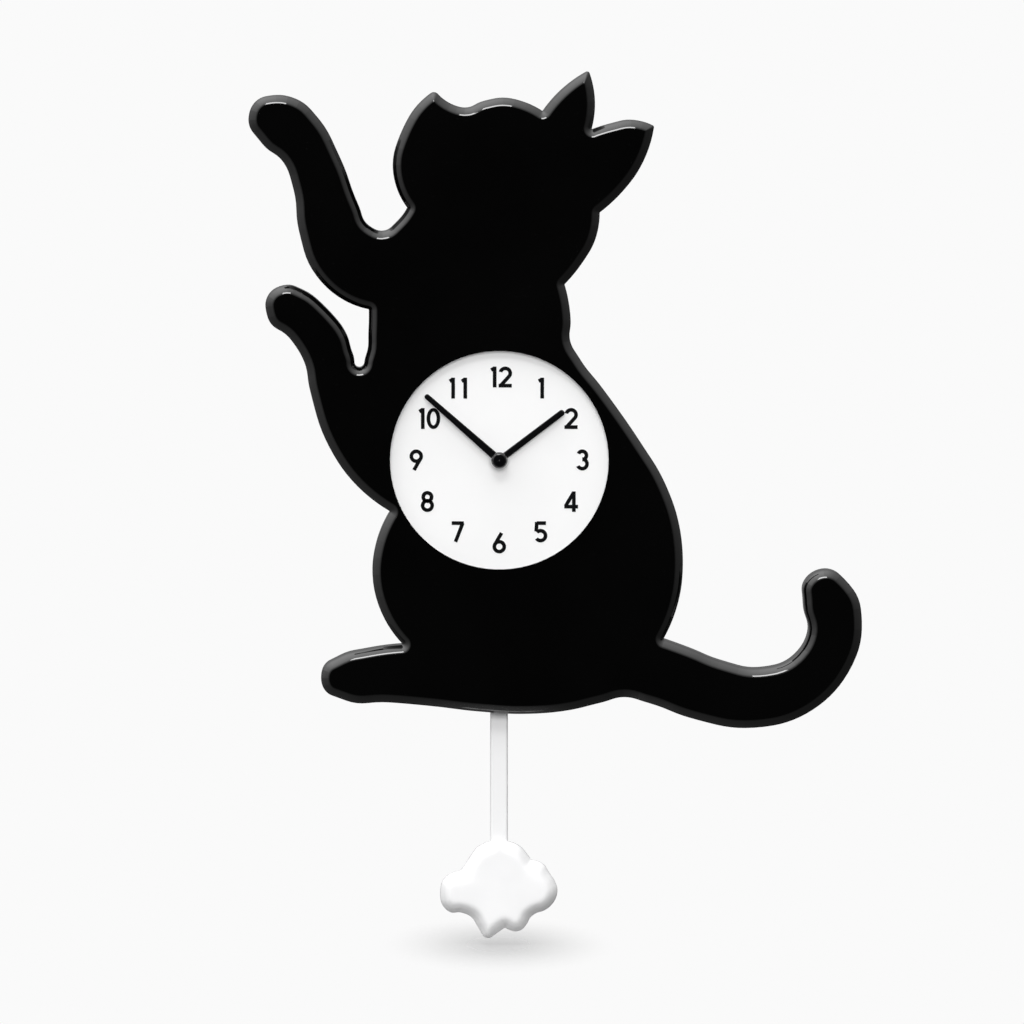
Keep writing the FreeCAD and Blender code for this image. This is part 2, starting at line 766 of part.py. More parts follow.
def back_cover():
    plate = extruded(outline_feature(Part.Face(cat_wire(value("shell_wall + cover_gap"))), "0"),
                     "cover_thickness")
    half = "(movement_width / 2 + window_gap)"
    window = block(f"-{half}", half, f"-{half}", half, "-overrun", "cover_thickness + overrun")
    holes = [cylinder("screw_radius + fit_gap", "-overrun", "cover_thickness + 2 * overrun", x, z)
             for x, z in cover_screw_places() + hanger_screw_places()]
    sinks = [cylinder("screw_head_radius + fit_gap", "-overrun", "overrun + screw_head_height + screw_sink", x, z)
             for x, z in cover_screw_places() + hanger_screw_places()]
    finished(cut(plate, window, *holes, *sinks, *keyhole("-overrun", "cover_thickness + 2 * overrun")), "back_cover")


def screw(radius, head_radius, head_height, start, length, x, z):
    """A screw that goes in from the back; start is the level of its head's outer face."""
    return fused(cylinder(head_radius, start, head_height, x, z),
                 cylinder(radius, f"{start} + {head_height} / 2", f"{length} + {head_height} / 2", x, z))


def cover_screws():
    screws = [screw("screw_radius", "screw_head_radius", "screw_head_height", "screw_sink", "cover_screw_length",
                    x, z) for x, z in cover_screw_places()]
    finished(group(screws), "back_cover_screws")


def hanger_screws():
    screws = [screw("screw_radius", "screw_head_radius", "screw_head_height", "screw_sink", "cover_screw_length",
                    x, z) for x, z in hanger_screw_places()]
    finished(group(screws), "hanger_screws")


def hanger_plate():
    """Steel plate behind the cover's keyhole, clamped between the cover and two bosses."""
    middle = "(hanger_z - keyhole_drop / 2)"
    plate = block("hanger_x - hanger_width / 2", "hanger_x + hanger_width / 2", f"{middle} - hanger_height / 2",
                  f"{middle} + hanger_height / 2", "cover_thickness", "cover_thickness + hanger_thickness")
    holes = [cylinder("screw_radius + fit_gap", "cover_thickness - overrun", "hanger_thickness + 2 * overrun", x, z)
             for x, z in hanger_screw_places()]
    slot = keyhole("cover_thickness - overrun", "hanger_thickness + 2 * overrun")
    finished(cut(plate, *slot, *holes), "hanger_plate")


# The dial


def dial_plate():
    ears = [cylinder("ear_radius", "dial_back", "dial_thickness", x, z) for x, z in ear_places()]
    disc = fused(cylinder("dial_radius", "dial_back", "dial_thickness"), *ears)
    shaft_hole = cylinder("bush_radius + fit_gap", "dial_back - overrun", "dial_thickness + 2 * overrun")
    ear_holes = [cylinder("small_screw_radius + fit_gap", "dial_back - overrun", "dial_thickness + 2 * overrun", x, z)
                 for x, z in ear_places()]
    lug_holes = [cylinder("small_screw_radius + fit_gap", "dial_back - overrun",
                          "overrun + lug_screw_bite", x, z) for x, z in lug_places()]
    finished(cut(disc, shaft_hole, *ear_holes, *lug_holes), "dial_plate")


def dial_screws():
    screws = [screw("small_screw_radius", "small_head_radius", "small_head_height", "dial_back - small_head_height",
                    "dial_thickness + ear_screw_depth - fit_gap", x, z) for x, z in ear_places()]
    finished(group(screws), "dial_screws")


def stroke_face(kind, measures, tall, stroke):
    """The flat shape of one stroke, drawn round its centre line in the front view."""
    if kind == "line":
        x1, z1, x2, z2 = (share * tall for share in measures)
        start = Vector(x1, 0, z1)
        end = Vector(x2, 0, z2)
        side = direction(heading(start, end) + math.pi / 2) * (stroke / 2)
        return Part.Face(Part.makePolygon([start + side, end + side, end - side, start - side, start + side]))
    x, z, half_width, half_height = (share * tall for share in measures[:4])
    first, last = (math.radians(angle) for angle in measures[4:])
    closed = measures[5] - measures[4] == 360
    rims = []
    for reach in (stroke / 2, -stroke / 2):
        rims.append(oval_edge(Vector(x, 0, z), half_width + reach, half_height + reach, first, last))
    if closed:
        return Part.Face(Part.Wire(rims[0])).cut(Part.Face(Part.Wire(rims[1])))
    ends = [Part.makeLine(rims[0].valueAt(rims[0].FirstParameter), rims[1].valueAt(rims[1].FirstParameter)),
            Part.makeLine(rims[0].valueAt(rims[0].LastParameter), rims[1].valueAt(rims[1].LastParameter))]
    return Part.Face(Part.Wire(Part.sortEdges(rims + ends)[0]))


def oval_edge(centre, half_width, half_height, first, last):
    """Part of an ellipse, or of a circle, that stands in the front view."""
    facing = Vector(0, -1, 0)
    if math.isclose(half_width, half_height):
        curve = Part.Circle(centre, facing, half_width)
        curve.XAxis = Vector(1, 0, 0)
        return curve.toShape(first, last)
    curve = Part.Ellipse(centre + Vector(0, 0, half_height), centre + Vector(half_width, 0, 0), centre)
    return curve.toShape(first, last)


def numeral_solids(text, x, z):
    tall = value("numeral_height")
    stroke = value("numeral_stroke")
    solids = []
    for place, digit in enumerate(text):
        shift = (place - (len(text) - 1) / 2) * DIGIT_PITCH_SHARE * tall
        faces = [stroke_face(kind, measures, tall, stroke) for kind, *measures in DIGIT_SHARES[digit]]
        flat = faces[0].fuse(faces[1:]).removeSplitter() if len(faces) > 1 else faces[0]
        solid = flat.extrude(Vector(0, -value("numeral_thickness"), 0))
        solid.translate(Vector(x + shift, -value("dial_front"), z - tall / 2))
        solids += solid.Solids
    return solids


def dial_numerals():
    ring = value("numeral_ring_radius")
    solids = []
    for hour in range(1, 13):
        angle = math.pi / 2 - hour * math.pi / 6
        solids += numeral_solids(str(hour), ring * math.cos(angle), ring * math.sin(angle))
    shaped("dial_numerals", Part.makeCompound(solids))


# The hands


def hand(label, length, root, end, level, bore, angle):
    """A straight tapered bar with a round end and a ring that sits on its tube or arbor."""
    toward = math.radians(90 - value(angle))
    root_half = value(root) / 2
    end_half = value(end) / 2
    reach = value(length) - end_half
    corners = [Vector(0, 0, root_half), Vector(reach, 0, end_half), Vector(reach, 0, -end_half),
               Vector(0, 0, -root_half)]
    tip = Part.Arc(corners[1], Vector(value(length), 0, 0), corners[2]).toShape()
    sides = [Part.makeLine(corners[0], corners[1]), tip, Part.makeLine(corners[2], corners[3]),
             Part.makeLine(corners[3], corners[0])]
    bar_face = Part.Face(Part.Wire(sides))
    bar_face.rotate(Vector(), Vector(0, -1, 0), math.degrees(toward))
    bar = extruded(outline_feature(bar_face, level), "hand_thickness")
    rounded = doc.addObject("Part::Fillet", "rounded_bar")
    rounded.Base = bar
    doc.recompute()
    top = -value(level) - value("hand_thickness")
    rim = [number for number, edge in enumerate(bar.Shape.Edges, start=1)
           if math.isclose(edge.BoundBox.YMax, top, abs_tol=value("fit_gap"))
           and edge.BoundBox.Center.Length > value("hub_radius")]
    soft = value("hand_thickness") / 2
    rounded.Edges = [(number, soft, soft) for number in rim]
    ring = cylinder("hub_radius", level, "hand_thickness")
    finished(cut(fused(rounded, ring), cylinder(bore, f"{level} - overrun", "hand_thickness + 2 * overrun")), label)


def hands():
    hand("hour_hand", "hour_hand_length", "hour_hand_root", "hour_hand_end", "hour_hand_level", "hour_tube_radius",
         "hour_hand_angle")
    hand("minute_hand", "minute_hand_length", "minute_hand_root", "minute_hand_end", "minute_hand_level",
         "minute_arbor_radius", "minute_hand_angle")


def hand_cap():
    """A domed cap pressed on the end of the minute arbor."""
    body = new_body("hand_cap")
    sketch = sketch_on(body, "XY_Plane")
    dome = [(f"{across} * cap_radius", f"-(cap_level + {rise} * cap_height)") for across, rise in CAP_DOME_SHARES]
    draw_polygon(sketch, dome + [("minute_arbor_radius", dome[-1][1]), ("minute_arbor_radius", dome[0][1])])
    feature = body.newObject("PartDesign::Revolution", "dome")
    feature.Profile = sketch
    feature.ReferenceAxis = (sketch, ["V_Axis"])
    feature.Angle = 360


# The movement's housing


def pillar_places():
    return [(f"{x} * movement_width", f"{z} * movement_width") for x, z in PILLAR_SHARES]


def lug_places():
    across = "(movement_width / 2 + lug_reach / 2)"
    return [(f"{side} * {across}", f"{rise} * lug_height") for side in (-1, 1) for rise in (-1, 1)]


def pedestal_places():
    """Posts under the stator: two at the corners of its arms and one beside the rotor."""
    top = "core_top - core_width / 2"
    return [("stator_left + core_width / 2", top), ("coil_x", top), ("coil_x", "rotor_z")]


def board_post_places():
    return [("-board_left + board_post_inset", "board_middle"), ("board_right - board_post_inset", "board_middle")]


def housing_block(start, end):
    half = "movement_width / 2"
    upper = block(f"-{half}", half, f"-{half}", half, start, end)
    lower = block("-pendulum_box_width / 2", "pendulum_box_width / 2", "-pendulum_box_drop", "0", start, end)
    return fused(upper, lower)


def movement_case():
    inner = "(movement_width / 2 - case_wall)"
    gear_room = block(f"-{inner}", inner, "-gear_room_floor", inner, "case_floor", "case_lid + overrun")
    bay_half = "(battery_radius + bay_gap)"
    bay = block(f"-{inner}", inner, f"-battery_drop - {bay_half}", f"-battery_drop + {bay_half}",
                "movement_back - overrun", "case_lid + overrun")
    room_half = "(pendulum_box_width / 2 - case_wall)"
    pendulum_room = block(f"-{room_half}", room_half, "-pendulum_box_drop + case_wall", "-pendulum_room_top",
                          "case_floor", "case_lid + overrun")
    outlet = block("-pendulum_box_width / 3", "pendulum_box_width / 3", "-pendulum_box_drop - overrun",
                   "-pendulum_box_drop + case_wall + overrun", "rod_level - outlet_gap", "case_lid + overrun")
    hollow = cut(housing_block("movement_back", "case_lid"), gear_room, bay, pendulum_room, outlet)
    pillars = [cylinder("pillar_radius", "movement_back + case_wall / 2",
                        "bridge_level - movement_back - case_wall / 2", x, z) for x, z in pillar_places()]
    stakes = [cylinder("stake_radius", "bridge_level - bridge_thickness", "2 * bridge_thickness", x, z)
              for x, z in pillar_places()]
    pedestals = [cylinder("pedestal_radius", "movement_back + case_wall / 2",
                          "stator_level - movement_back - case_wall / 2", x, z) for x, z in pedestal_places()]
    board_posts = [cylinder("pedestal_radius", "movement_back + case_wall / 2",
                            "board_level - movement_back - case_wall / 2", x, z) for x, z in board_post_places()]
    coil_post = cylinder("pedestal_radius", "movement_back + case_wall / 2",
                         "swing_coil_level + swing_coil_length - movement_back - case_wall / 2",
                         "0", "-pivot_drop - magnet_drop")
    pin_boss = cylinder("lever_hub_radius", "movement_back + case_wall / 2", "case_wall / 2 + pivot_depth", "0",
                        "-pivot_drop")
    built = fused(hollow, coil_post, pin_boss, *pillars, *stakes, *pedestals, *board_posts)
    bearings = [cylinder("pivot_radius + fit_gap", "case_floor - pivot_depth", "pivot_depth + overrun / 4", x, z)
                for x, z in (("0", "0"), ("third_x", "third_z"), ("intermediate_x", "intermediate_z"),
                             ("rotor_x", "rotor_z"))]
    setting_hole = cylinder("setting_radius + fit_gap", "movement_back - overrun", "case_wall + 2 * overrun",
                            "setting_x", "setting_z")
    pin_hole = cylinder("pivot_pin_radius", "case_floor - pivot_depth", "3 * pivot_depth", "0", "-pivot_drop")
    finished(cut(built, setting_hole, pin_hole, *bearings), "movement_case")


def movement_cover():
    lugs = [block(f"{x} - lug_width / 2", f"{x} + lug_width / 2", f"{z} - lug_width / 2", f"{z} + lug_width / 2",
                  "case_lid", "dial_back") for x, z in lug_places()]
    bush = cylinder("bush_radius", "case_lid", "dial_front + bush_rise - case_lid")
    pin_boss = cylinder("lever_hub_radius", "case_lid - pivot_depth", "pivot_depth + case_wall / 2", "0",
                        "-pivot_drop")
    built = fused(housing_block("case_lid", "dial_back"), bush, pin_boss, *lugs)
    bore = cylinder("hour_tube_radius + fit_gap", "case_lid - overrun",
                    "dial_front + bush_rise - case_lid + 2 * overrun")
    screw_holes = [cylinder("small_screw_radius + fit_gap", "case_lid - overrun", "case_wall + 2 * overrun", x, z)
                   for x, z in lug_places()]
    bearings = [cylinder("pivot_radius + fit_gap", "case_lid - overrun / 4", "pivot_depth + overrun / 4", x, z)
                for x, z in (("work_x", "work_z"), ("setting_x", "setting_z"))]
    pin_hole = cylinder("pivot_pin_radius", "case_lid - 2 * pivot_depth", "3 * pivot_depth", "0", "-pivot_drop")
    finished(cut(built, bore, pin_hole, *screw_holes, *bearings), "movement_cover")


def movement_screws():
    screws = [screw("small_screw_radius", "small_head_radius", "small_head_height", "case_lid - small_head_height",
                    "case_wall + lug_screw_bite - fit_gap", x, z) for x, z in lug_places()]
    finished(group(screws), "movement_screws")


def gear_bridge():
    plate = block("-bridge_left", "bridge_right", "-bridge_bottom", "bridge_top", "bridge_level",
                  "bridge_level + bridge_thickness")
    through = ("bridge_level - overrun", "bridge_thickness + 2 * overrun")
    bearings = [cylinder("pivot_radius + fit_gap", *through, x, z)
                for x, z in (("third_x", "third_z"), ("intermediate_x", "intermediate_z"), ("rotor_x", "rotor_z"),
                             ("work_x", "work_z"))]
    stake_holes = [cylinder("stake_radius + fit_gap", *through, x, z) for x, z in pillar_places()]
    shaft_hole = cylinder("minute_arbor_radius + fit_gap", *through)
    setting_hole = cylinder("setting_radius + loose_gap", *through, "setting_x", "setting_z")
    finished(cut(plate, shaft_hole, setting_hole, *bearings, *stake_holes), "gear_bridge")


# Wheels and arbors


def tooth_corners(teeth, module, number, phase):
    """Six corners of one tooth, from root to tip and back."""
    pitch = 2 * math.pi / teeth
    pitch_radius = teeth * module / 2
    flank = [
        (pitch_radius - DEDENDUM_SHARE * module, ROOT_HALF_SHARE),
        (pitch_radius, PITCH_HALF_SHARE),
        (pitch_radius + ADDENDUM_SHARE * module, TIP_HALF_SHARE),
    ]
    middle = phase + number * pitch
    rising = [direction(middle - half * pitch) * radius for radius, half in flank]
    falling = [direction(middle + half * pitch) * radius for radius, half in reversed(flank)]
    return rising + falling


def toothed_disc(teeth, module, phase, level, thickness):
    corners = [corner for number in range(teeth) for corner in tooth_corners(teeth, module, number, phase)]
    disc = Part.Face(Part.makePolygon(corners + corners[:1])).extrude(Vector(0, -thickness, 0))
    disc.translate(Vector(0, -level, 0))
    return disc


def rod(radius, level, end):
    return Part.makeCylinder(radius, end - level, Vector(0, -level, 0), Vector(0, -1, 0))


def meshed_phase(phase, teeth, other_teeth, angle):
    """The phase of a wheel whose teeth fall in the gaps of the wheel beside it, seen along an angle."""
    return angle + math.pi - (phase - angle) * teeth / other_teeth + math.pi / other_teeth


def module_of(distance, teeth, other_teeth):
    return 2 * distance / (teeth + other_teeth)


def drive_train():
    """Seconds wheel, intermediate wheel, rotor pinion, third wheel and centre wheel."""
    thick = value("wheel_thickness")
    arbor = value("arbor_radius")
    pivot = value("pivot_radius")
    floor = value("case_floor + end_play")
    floor_pivot = value("case_floor - pivot_depth + end_play")
    bridge = value("bridge_level - end_play")
    bridge_pivot = value("bridge_level + pivot_depth - end_play")
    third_module = module_of(value("train_distance"), SECONDS_PINION_TEETH, THIRD_TEETH)
    centre_module = module_of(value("train_distance"), THIRD_PINION_TEETH, CENTRE_TEETH)
    seconds_module = module_of(value("intermediate_distance"), INTERMEDIATE_PINION_TEETH, SECONDS_TEETH)
    rotor_module = module_of(value("rotor_distance"), ROTOR_TEETH, INTERMEDIATE_TEETH)
    third_angle = math.radians(value("third_angle"))
    intermediate_angle = math.radians(value("intermediate_angle"))
    rotor_angle = math.radians(value("rotor_angle"))

    seconds = value("seconds_level")
    seconds_end = seconds + thick + value("seconds_pinion_length")
    seconds_wheel = toothed_disc(SECONDS_TEETH, seconds_module, 0, seconds, thick).fuse([
        toothed_disc(SECONDS_PINION_TEETH, third_module, 0, seconds + thick, seconds_end - seconds - thick),
        rod(arbor, floor, seconds_end), rod(pivot, floor_pivot, seconds_end + value("2 * pivot_depth"))])
    shaped("seconds_wheel", seconds_wheel)

    third_phase = meshed_phase(0, SECONDS_PINION_TEETH, THIRD_TEETH, third_angle)
    third = value("third_level")
    third_wheel = toothed_disc(THIRD_TEETH, third_module, third_phase, third, thick).fuse([
        toothed_disc(THIRD_PINION_TEETH, centre_module, third_phase, third + thick,
                     value("third_pinion_length")),
        rod(arbor, floor, bridge), rod(pivot, floor_pivot, bridge_pivot)])
    shaped("third_wheel", third_wheel, "third_x", "third_z")

    centre_phase = meshed_phase(third_phase, THIRD_PINION_TEETH, CENTRE_TEETH, third_angle + math.pi)
    centre = value("centre_level")
    grip = value("minute_arbor_radius")
    centre_wheel = toothed_disc(CENTRE_TEETH, centre_module, centre_phase, centre, thick)
    shaped("centre_wheel", centre_wheel.cut(rod(grip + value("fit_gap"), centre - thick, centre + 2 * thick)))

    step_phase = meshed_phase(0, SECONDS_TEETH, INTERMEDIATE_PINION_TEETH, intermediate_angle)
    step = value("intermediate_level")
    intermediate = toothed_disc(INTERMEDIATE_TEETH, rotor_module, step_phase, step, thick).fuse([
        toothed_disc(INTERMEDIATE_PINION_TEETH, seconds_module, step_phase, step + thick,
                     value("intermediate_pinion_length")),
        rod(arbor, floor, bridge), rod(pivot, floor_pivot, bridge_pivot)])
    shaped("intermediate_wheel", intermediate, "intermediate_x", "intermediate_z")

    rotor_phase = meshed_phase(step_phase, INTERMEDIATE_TEETH, ROTOR_TEETH, rotor_angle)
    rotor = value("rotor_pinion_level")
    rotor_pinion = toothed_disc(ROTOR_TEETH, rotor_module, rotor_phase, rotor, value("rotor_pinion_length")).fuse([
        rod(arbor, floor, bridge), rod(pivot, floor_pivot, bridge_pivot)])
    shaped("rotor_pinion", rotor_pinion, "rotor_x", "rotor_z")
    turned("rotor_magnet", [("arbor_radius", "magnet_level"), ("magnet_radius", "magnet_level"),
                            ("magnet_radius", "magnet_level + magnet_thickness"),
                            ("arbor_radius", "magnet_level + magnet_thickness")], "rotor_x", "rotor_z")


def hand_train():
    """Minute arbor, minute work wheel, hour wheel and the hand setting."""
    thick = value("wheel_thickness")
    gap = value("fit_gap")
    pivot = value("pivot_radius")
    lid = value("case_lid - end_play")
    lid_pivot = value("case_lid + pivot_depth - end_play")
    work_module = module_of(value("work_distance"), CANNON_TEETH, WORK_TEETH)
    hour_module = module_of(value("work_distance"), WORK_PINION_TEETH, HOUR_TEETH)
    work_angle = math.radians(value("work_angle"))
    shaft = value("minute_arbor_radius")

    cannon = value("cannon_level")
    minute_arbor = toothed_disc(CANNON_TEETH, work_module, 0, cannon, value("cannon_length")).fuse(
        rod(shaft, value("centre_level") - thick / 2, value("cap_level + cap_height / 2")))
    socket = rod(pivot + gap, value("centre_level") - thick, value("centre_level") + 2 * thick)
    shaped("minute_arbor", minute_arbor.cut(socket))

    work_phase = meshed_phase(0, CANNON_TEETH, WORK_TEETH, work_angle)
    work = value("work_level")
    bridge_face = value("bridge_level + bridge_thickness + end_play")
    bridge_pivot = value("bridge_level + end_play")
    work_end = work + thick + value("work_pinion_length")
    minute_work = toothed_disc(WORK_TEETH, work_module, work_phase, work, thick).fuse([
        toothed_disc(WORK_PINION_TEETH, hour_module, work_phase, work + thick, work_end - work - thick),
        rod(value("arbor_radius"), bridge_face, lid), rod(pivot, bridge_pivot, lid_pivot)])
    shaped("minute_work_wheel", minute_work, "work_x", "work_z")

    hour_phase = meshed_phase(work_phase, WORK_PINION_TEETH, HOUR_TEETH, work_angle + math.pi)
    hour = value("hour_level")
    tube_end = value("hour_hand_level + hand_thickness + hand_spacing / 4")
    hour_wheel = toothed_disc(HOUR_TEETH, hour_module, hour_phase, hour, thick).fuse(
        rod(value("hour_tube_radius"), hour, tube_end))
    shaped("hour_wheel", hour_wheel.cut(rod(shaft + gap, hour - thick, tube_end + thick)))

    setting_phase = meshed_phase(work_phase, WORK_TEETH, CANNON_TEETH, work_angle)
    pinion = value("setting_pinion_level")
    setting = value("setting_radius")
    setting_arbor = toothed_disc(CANNON_TEETH, work_module, setting_phase, pinion,
                                 value("setting_pinion_length")).fuse([
        rod(setting, value("knob_level + knob_thickness / 4"), lid), rod(pivot, pinion, lid_pivot)])
    shaped("setting_arbor", setting_arbor, "setting_x", "setting_z")


def setting_knob():
    """A grooved knob pressed on the setting arbor behind the movement."""
    disc = cylinder("knob_radius", "knob_level", "knob_thickness")
    grooves = [cylinder("knob_groove_radius", "knob_level - overrun", "knob_thickness + 2 * overrun",
                        f"knob_radius * cos({angle})", f"knob_radius * sin({angle})")
               for angle in range(0, 360, 360 // KNOB_GRIPS)]
    bore = cylinder("setting_radius", "knob_level + knob_thickness / 4", "knob_thickness")
    finished(cut(disc, bore, *grooves), "setting_knob", "setting_x", "setting_z")


# The step motor and the circuit


def stator():
    left = "stator_left"
    ring = cylinder("stator_ring", "stator_level", "lamination", "rotor_x", "rotor_z")
    sheet_end = "stator_level + lamination"
    neck = block(left, "rotor_x", "rotor_z + stator_bore", "rotor_z + stator_bore + core_width", "stator_level",
                 sheet_end)
    riser = block(left, f"{left} + core_width", "rotor_z + stator_bore", "core_top", "stator_level", sheet_end)
    top_arm = block(left, "coil_x + core_width / 2", "core_top - core_width", "core_top", "stator_level", sheet_end)
    right_arm = block("rotor_x", "coil_x + core_width / 2", "rotor_z - core_width / 2", "rotor_z + core_width / 2",
                      "stator_level", sheet_end)
    right_riser = block("coil_x - core_width / 2", "coil_x + core_width / 2", "rotor_z", "core_bottom + core_width",
                        "stator_level", sheet_end)
    bore = cylinder("stator_bore", "stator_level - overrun", "lamination + 2 * overrun", "rotor_x", "rotor_z")
    finished(cut(fused(ring, neck, riser, top_arm, right_arm, right_riser), bore), "stator")


def coil_core():
    core = block("coil_x - core_width / 2", "coil_x + core_width / 2", "core_bottom", "core_top", "core_level",
                 "core_level + lamination")
    finished(group([core]), "coil_core")


def standing_ring(outer, bore, bottom, length):
    return cut(standing_cylinder(outer, bottom, length, "coil_x", "coil_level"),
               standing_cylinder(bore, f"{bottom} - overrun", f"{length} + 2 * overrun", "coil_x", "coil_level"))


def motor_coil():
    flange_top = "bobbin_bottom + bobbin_length - flange_thickness"
    spool = fused(standing_cylinder("bobbin_radius", "bobbin_bottom", "bobbin_length", "coil_x", "coil_level"),
                  standing_cylinder("flange_radius", "bobbin_bottom", "flange_thickness", "coil_x", "coil_level"),
                  standing_cylinder("flange_radius", flange_top, "flange_thickness", "coil_x", "coil_level"))
    bore = standing_cylinder("bobbin_bore", "bobbin_bottom - overrun", "bobbin_length + 2 * overrun", "coil_x",
                             "coil_level")
    finished(cut(spool, bore), "coil_bobbin")
    finished(standing_ring("winding_radius", "bobbin_radius", "bobbin_bottom + flange_thickness",
                           "bobbin_length - 2 * flange_thickness"), "coil_winding")


def circuit():
    board_front = "board_level + board_thickness"
    board = block("-board_left", "board_right", "board_bottom", "board_top", "board_level", board_front)
    finished(group([board]), "circuit_board")
    chip_left = "-board_left + chip_inset"
    chip = block(chip_left, f"{chip_left} + chip_side", "board_middle - chip_side / 2",
                 "board_middle + chip_side / 2", board_front, f"{board_front} + chip_height")
    finished(group([chip]), "timing_chip")
    crystal = doc.addObject("Part::Cylinder", "crystal")
    crystal.Placement.Rotation = ALONG_WIDTH
    bind(crystal, {"Radius": "crystal_radius", "Height": "crystal_length",
                   ".Placement.Base.x": "-board_left + crystal_inset",
                   ".Placement.Base.y": f"-({board_front} + crystal_radius)",
                   ".Placement.Base.z": "board_middle"})
    finished(group([crystal]), "quartz_crystal")


# The battery and its contacts


def battery():
    """One AA cell that lies across the bay, its positive end to the right."""
    left = "movement_width / 2 - case_wall - contact_thickness - fit_gap - nub_length - battery_length"
    parts = []
    for radius, start, length in (("battery_radius", left, "battery_length"),
                                  ("nub_radius", f"{left} + battery_length", "nub_length")):
        can = doc.addObject("Part::Cylinder", "can")
        can.Placement.Rotation = ALONG_WIDTH
        bind(can, {"Radius": radius, "Height": length, ".Placement.Base.x": start,
                   ".Placement.Base.y": "-battery_level", ".Placement.Base.z": "-battery_drop"})
        parts.append(can)
    finished(fused(*parts), "battery")


def battery_contacts():
    inner = "(movement_width / 2 - case_wall)"
    low = "-battery_drop - contact_width / 2"
    high = "-battery_drop + contact_width / 2"
    near = "battery_level - contact_width / 2"
    far = "battery_level + contact_width / 2"
    finished(group([block(f"{inner} - contact_thickness", inner, low, high, near, far)]),
             "battery_contact_positive")
    plate = block(f"-{inner}", f"-{inner} + contact_thickness", low, high, near, far)
    leaf = doc.addObject("Part::Box", "leaf")
    leaf.Placement.Rotation = Rotation(Vector(0, 0, 1), -value("leaf_angle"))
    bind(leaf, {"Length": "contact_thickness", "Width": "contact_width", "Height": "contact_width",
                ".Placement.Base.x": f"-{inner}", ".Placement.Base.y": f"-({far}) + contact_thickness / 2",
                ".Placement.Base.z": low})
    finished(fused(plate, leaf), "battery_contact_negative")


# The pendulum


def pendulum_drive():
    """Fixed coil and pivot pin in the lower room of the housing."""
    swing_z = "-pivot_drop - magnet_drop"
    back = "swing_coil_level"
    front = "swing_coil_level + swing_coil_length"
    rim = "flange_thickness"
    turned("pendulum_coil_bobbin", [("pedestal_radius + fit_gap", back), ("swing_coil_radius", back),
                                    ("swing_coil_radius", f"{back} + {rim}"), ("bobbin_radius", f"{back} + {rim}"),
                                    ("bobbin_radius", f"{front} - {rim}"),
                                    ("swing_coil_radius", f"{front} - {rim}"), ("swing_coil_radius", front),
                                    ("pedestal_radius + fit_gap", front)], "0", swing_z)
    turned("pendulum_coil_winding", [("bobbin_radius", f"{back} + {rim}"),
                                     ("swing_coil_radius - bay_gap", f"{back} + {rim}"),
                                     ("swing_coil_radius - bay_gap", f"{front} - {rim}"),
                                     ("bobbin_radius", f"{front} - {rim}")], "0", swing_z)
    finished(group([cylinder("pivot_pin_radius", "case_floor - pivot_depth", "case_lid - case_floor + 2 * pivot_depth")]),
             "pendulum_pivot", "0", "-pivot_drop")


def pendulum_lever():
    """Hub, arm and hook of the swinging lever, placed at its pivot."""
    hub = cylinder("lever_hub_radius", "lever_level - 2 * lever_thickness", "4 * lever_thickness")
    arm = block("-lever_width / 2", "lever_width / 2", "-hook_drop - hook_head_radius", "0", "lever_level",
                "lever_level + lever_thickness")
    head_level = "rod_level - 2 * fit_gap - hook_head_length"
    hook = cylinder("hook_radius", head_level, f"lever_level + lever_thickness / 2 - ({head_level})", "0",
                    "-hook_drop")
    head = cylinder("hook_head_radius", head_level, "hook_head_length", "0", "-hook_drop")
    bore = cylinder("pivot_pin_radius + fit_gap", "lever_level - 3 * lever_thickness", "6 * lever_thickness")
    finished(cut(fused(hub, arm, hook, head), bore), "pendulum_lever", "0", "-pivot_drop")
    finished(group([cylinder("swing_magnet_radius", "lever_level - swing_magnet_thickness",
                             "swing_magnet_thickness", "0", "-magnet_drop")]),
             "pendulum_magnet", "0", "-pivot_drop")


def rod_section(start, end, grow):
    """The straight part of the rod, or with some growth the socket that takes it."""
    return block(f"-rod_width / 2 - {grow}", f"rod_width / 2 + {grow}", start, end,
                 f"rod_level - {grow}", f"rod_level + rod_thickness + {grow}")


def pendulum_rod():
    """A flat bar with an eye at its top, from the hook down into the bob."""
    bottom = f"-bob_drop + {BOB_TOP_SHARE} * bob_height - rod_seat"
    bar = fused(rod_section(bottom, "rod_top", "0"),
                cylinder("rod_width / 2", "rod_level", "rod_thickness", "0", "rod_top"))
    holed = cut(bar, cylinder("rod_eye_radius", "rod_level - overrun", "rod_thickness + 2 * overrun", "0",
                              "rod_top + fit_gap"))
    rounded = doc.addObject("Part::Fillet", "rounded_rod")
    rounded.Base = holed
    doc.recompute()
    side = value("rod_width") / 2
    level_faces = (-value("rod_level"), -value("rod_level + rod_thickness"))
    long_edges = [number for number, edge in enumerate(holed.Shape.Edges, start=1)
                  if math.isclose(abs(edge.BoundBox.Center.x), side, rel_tol=value("fit_gap") / side)
                  and any(math.isclose(edge.BoundBox.Center.y, face, abs_tol=value("fit_gap"))
                          for face in level_faces)]
    soft = value("rod_edge")
    rounded.Edges = [(number, soft, soft) for number in long_edges]
    finished(rounded, "pendulum_rod")


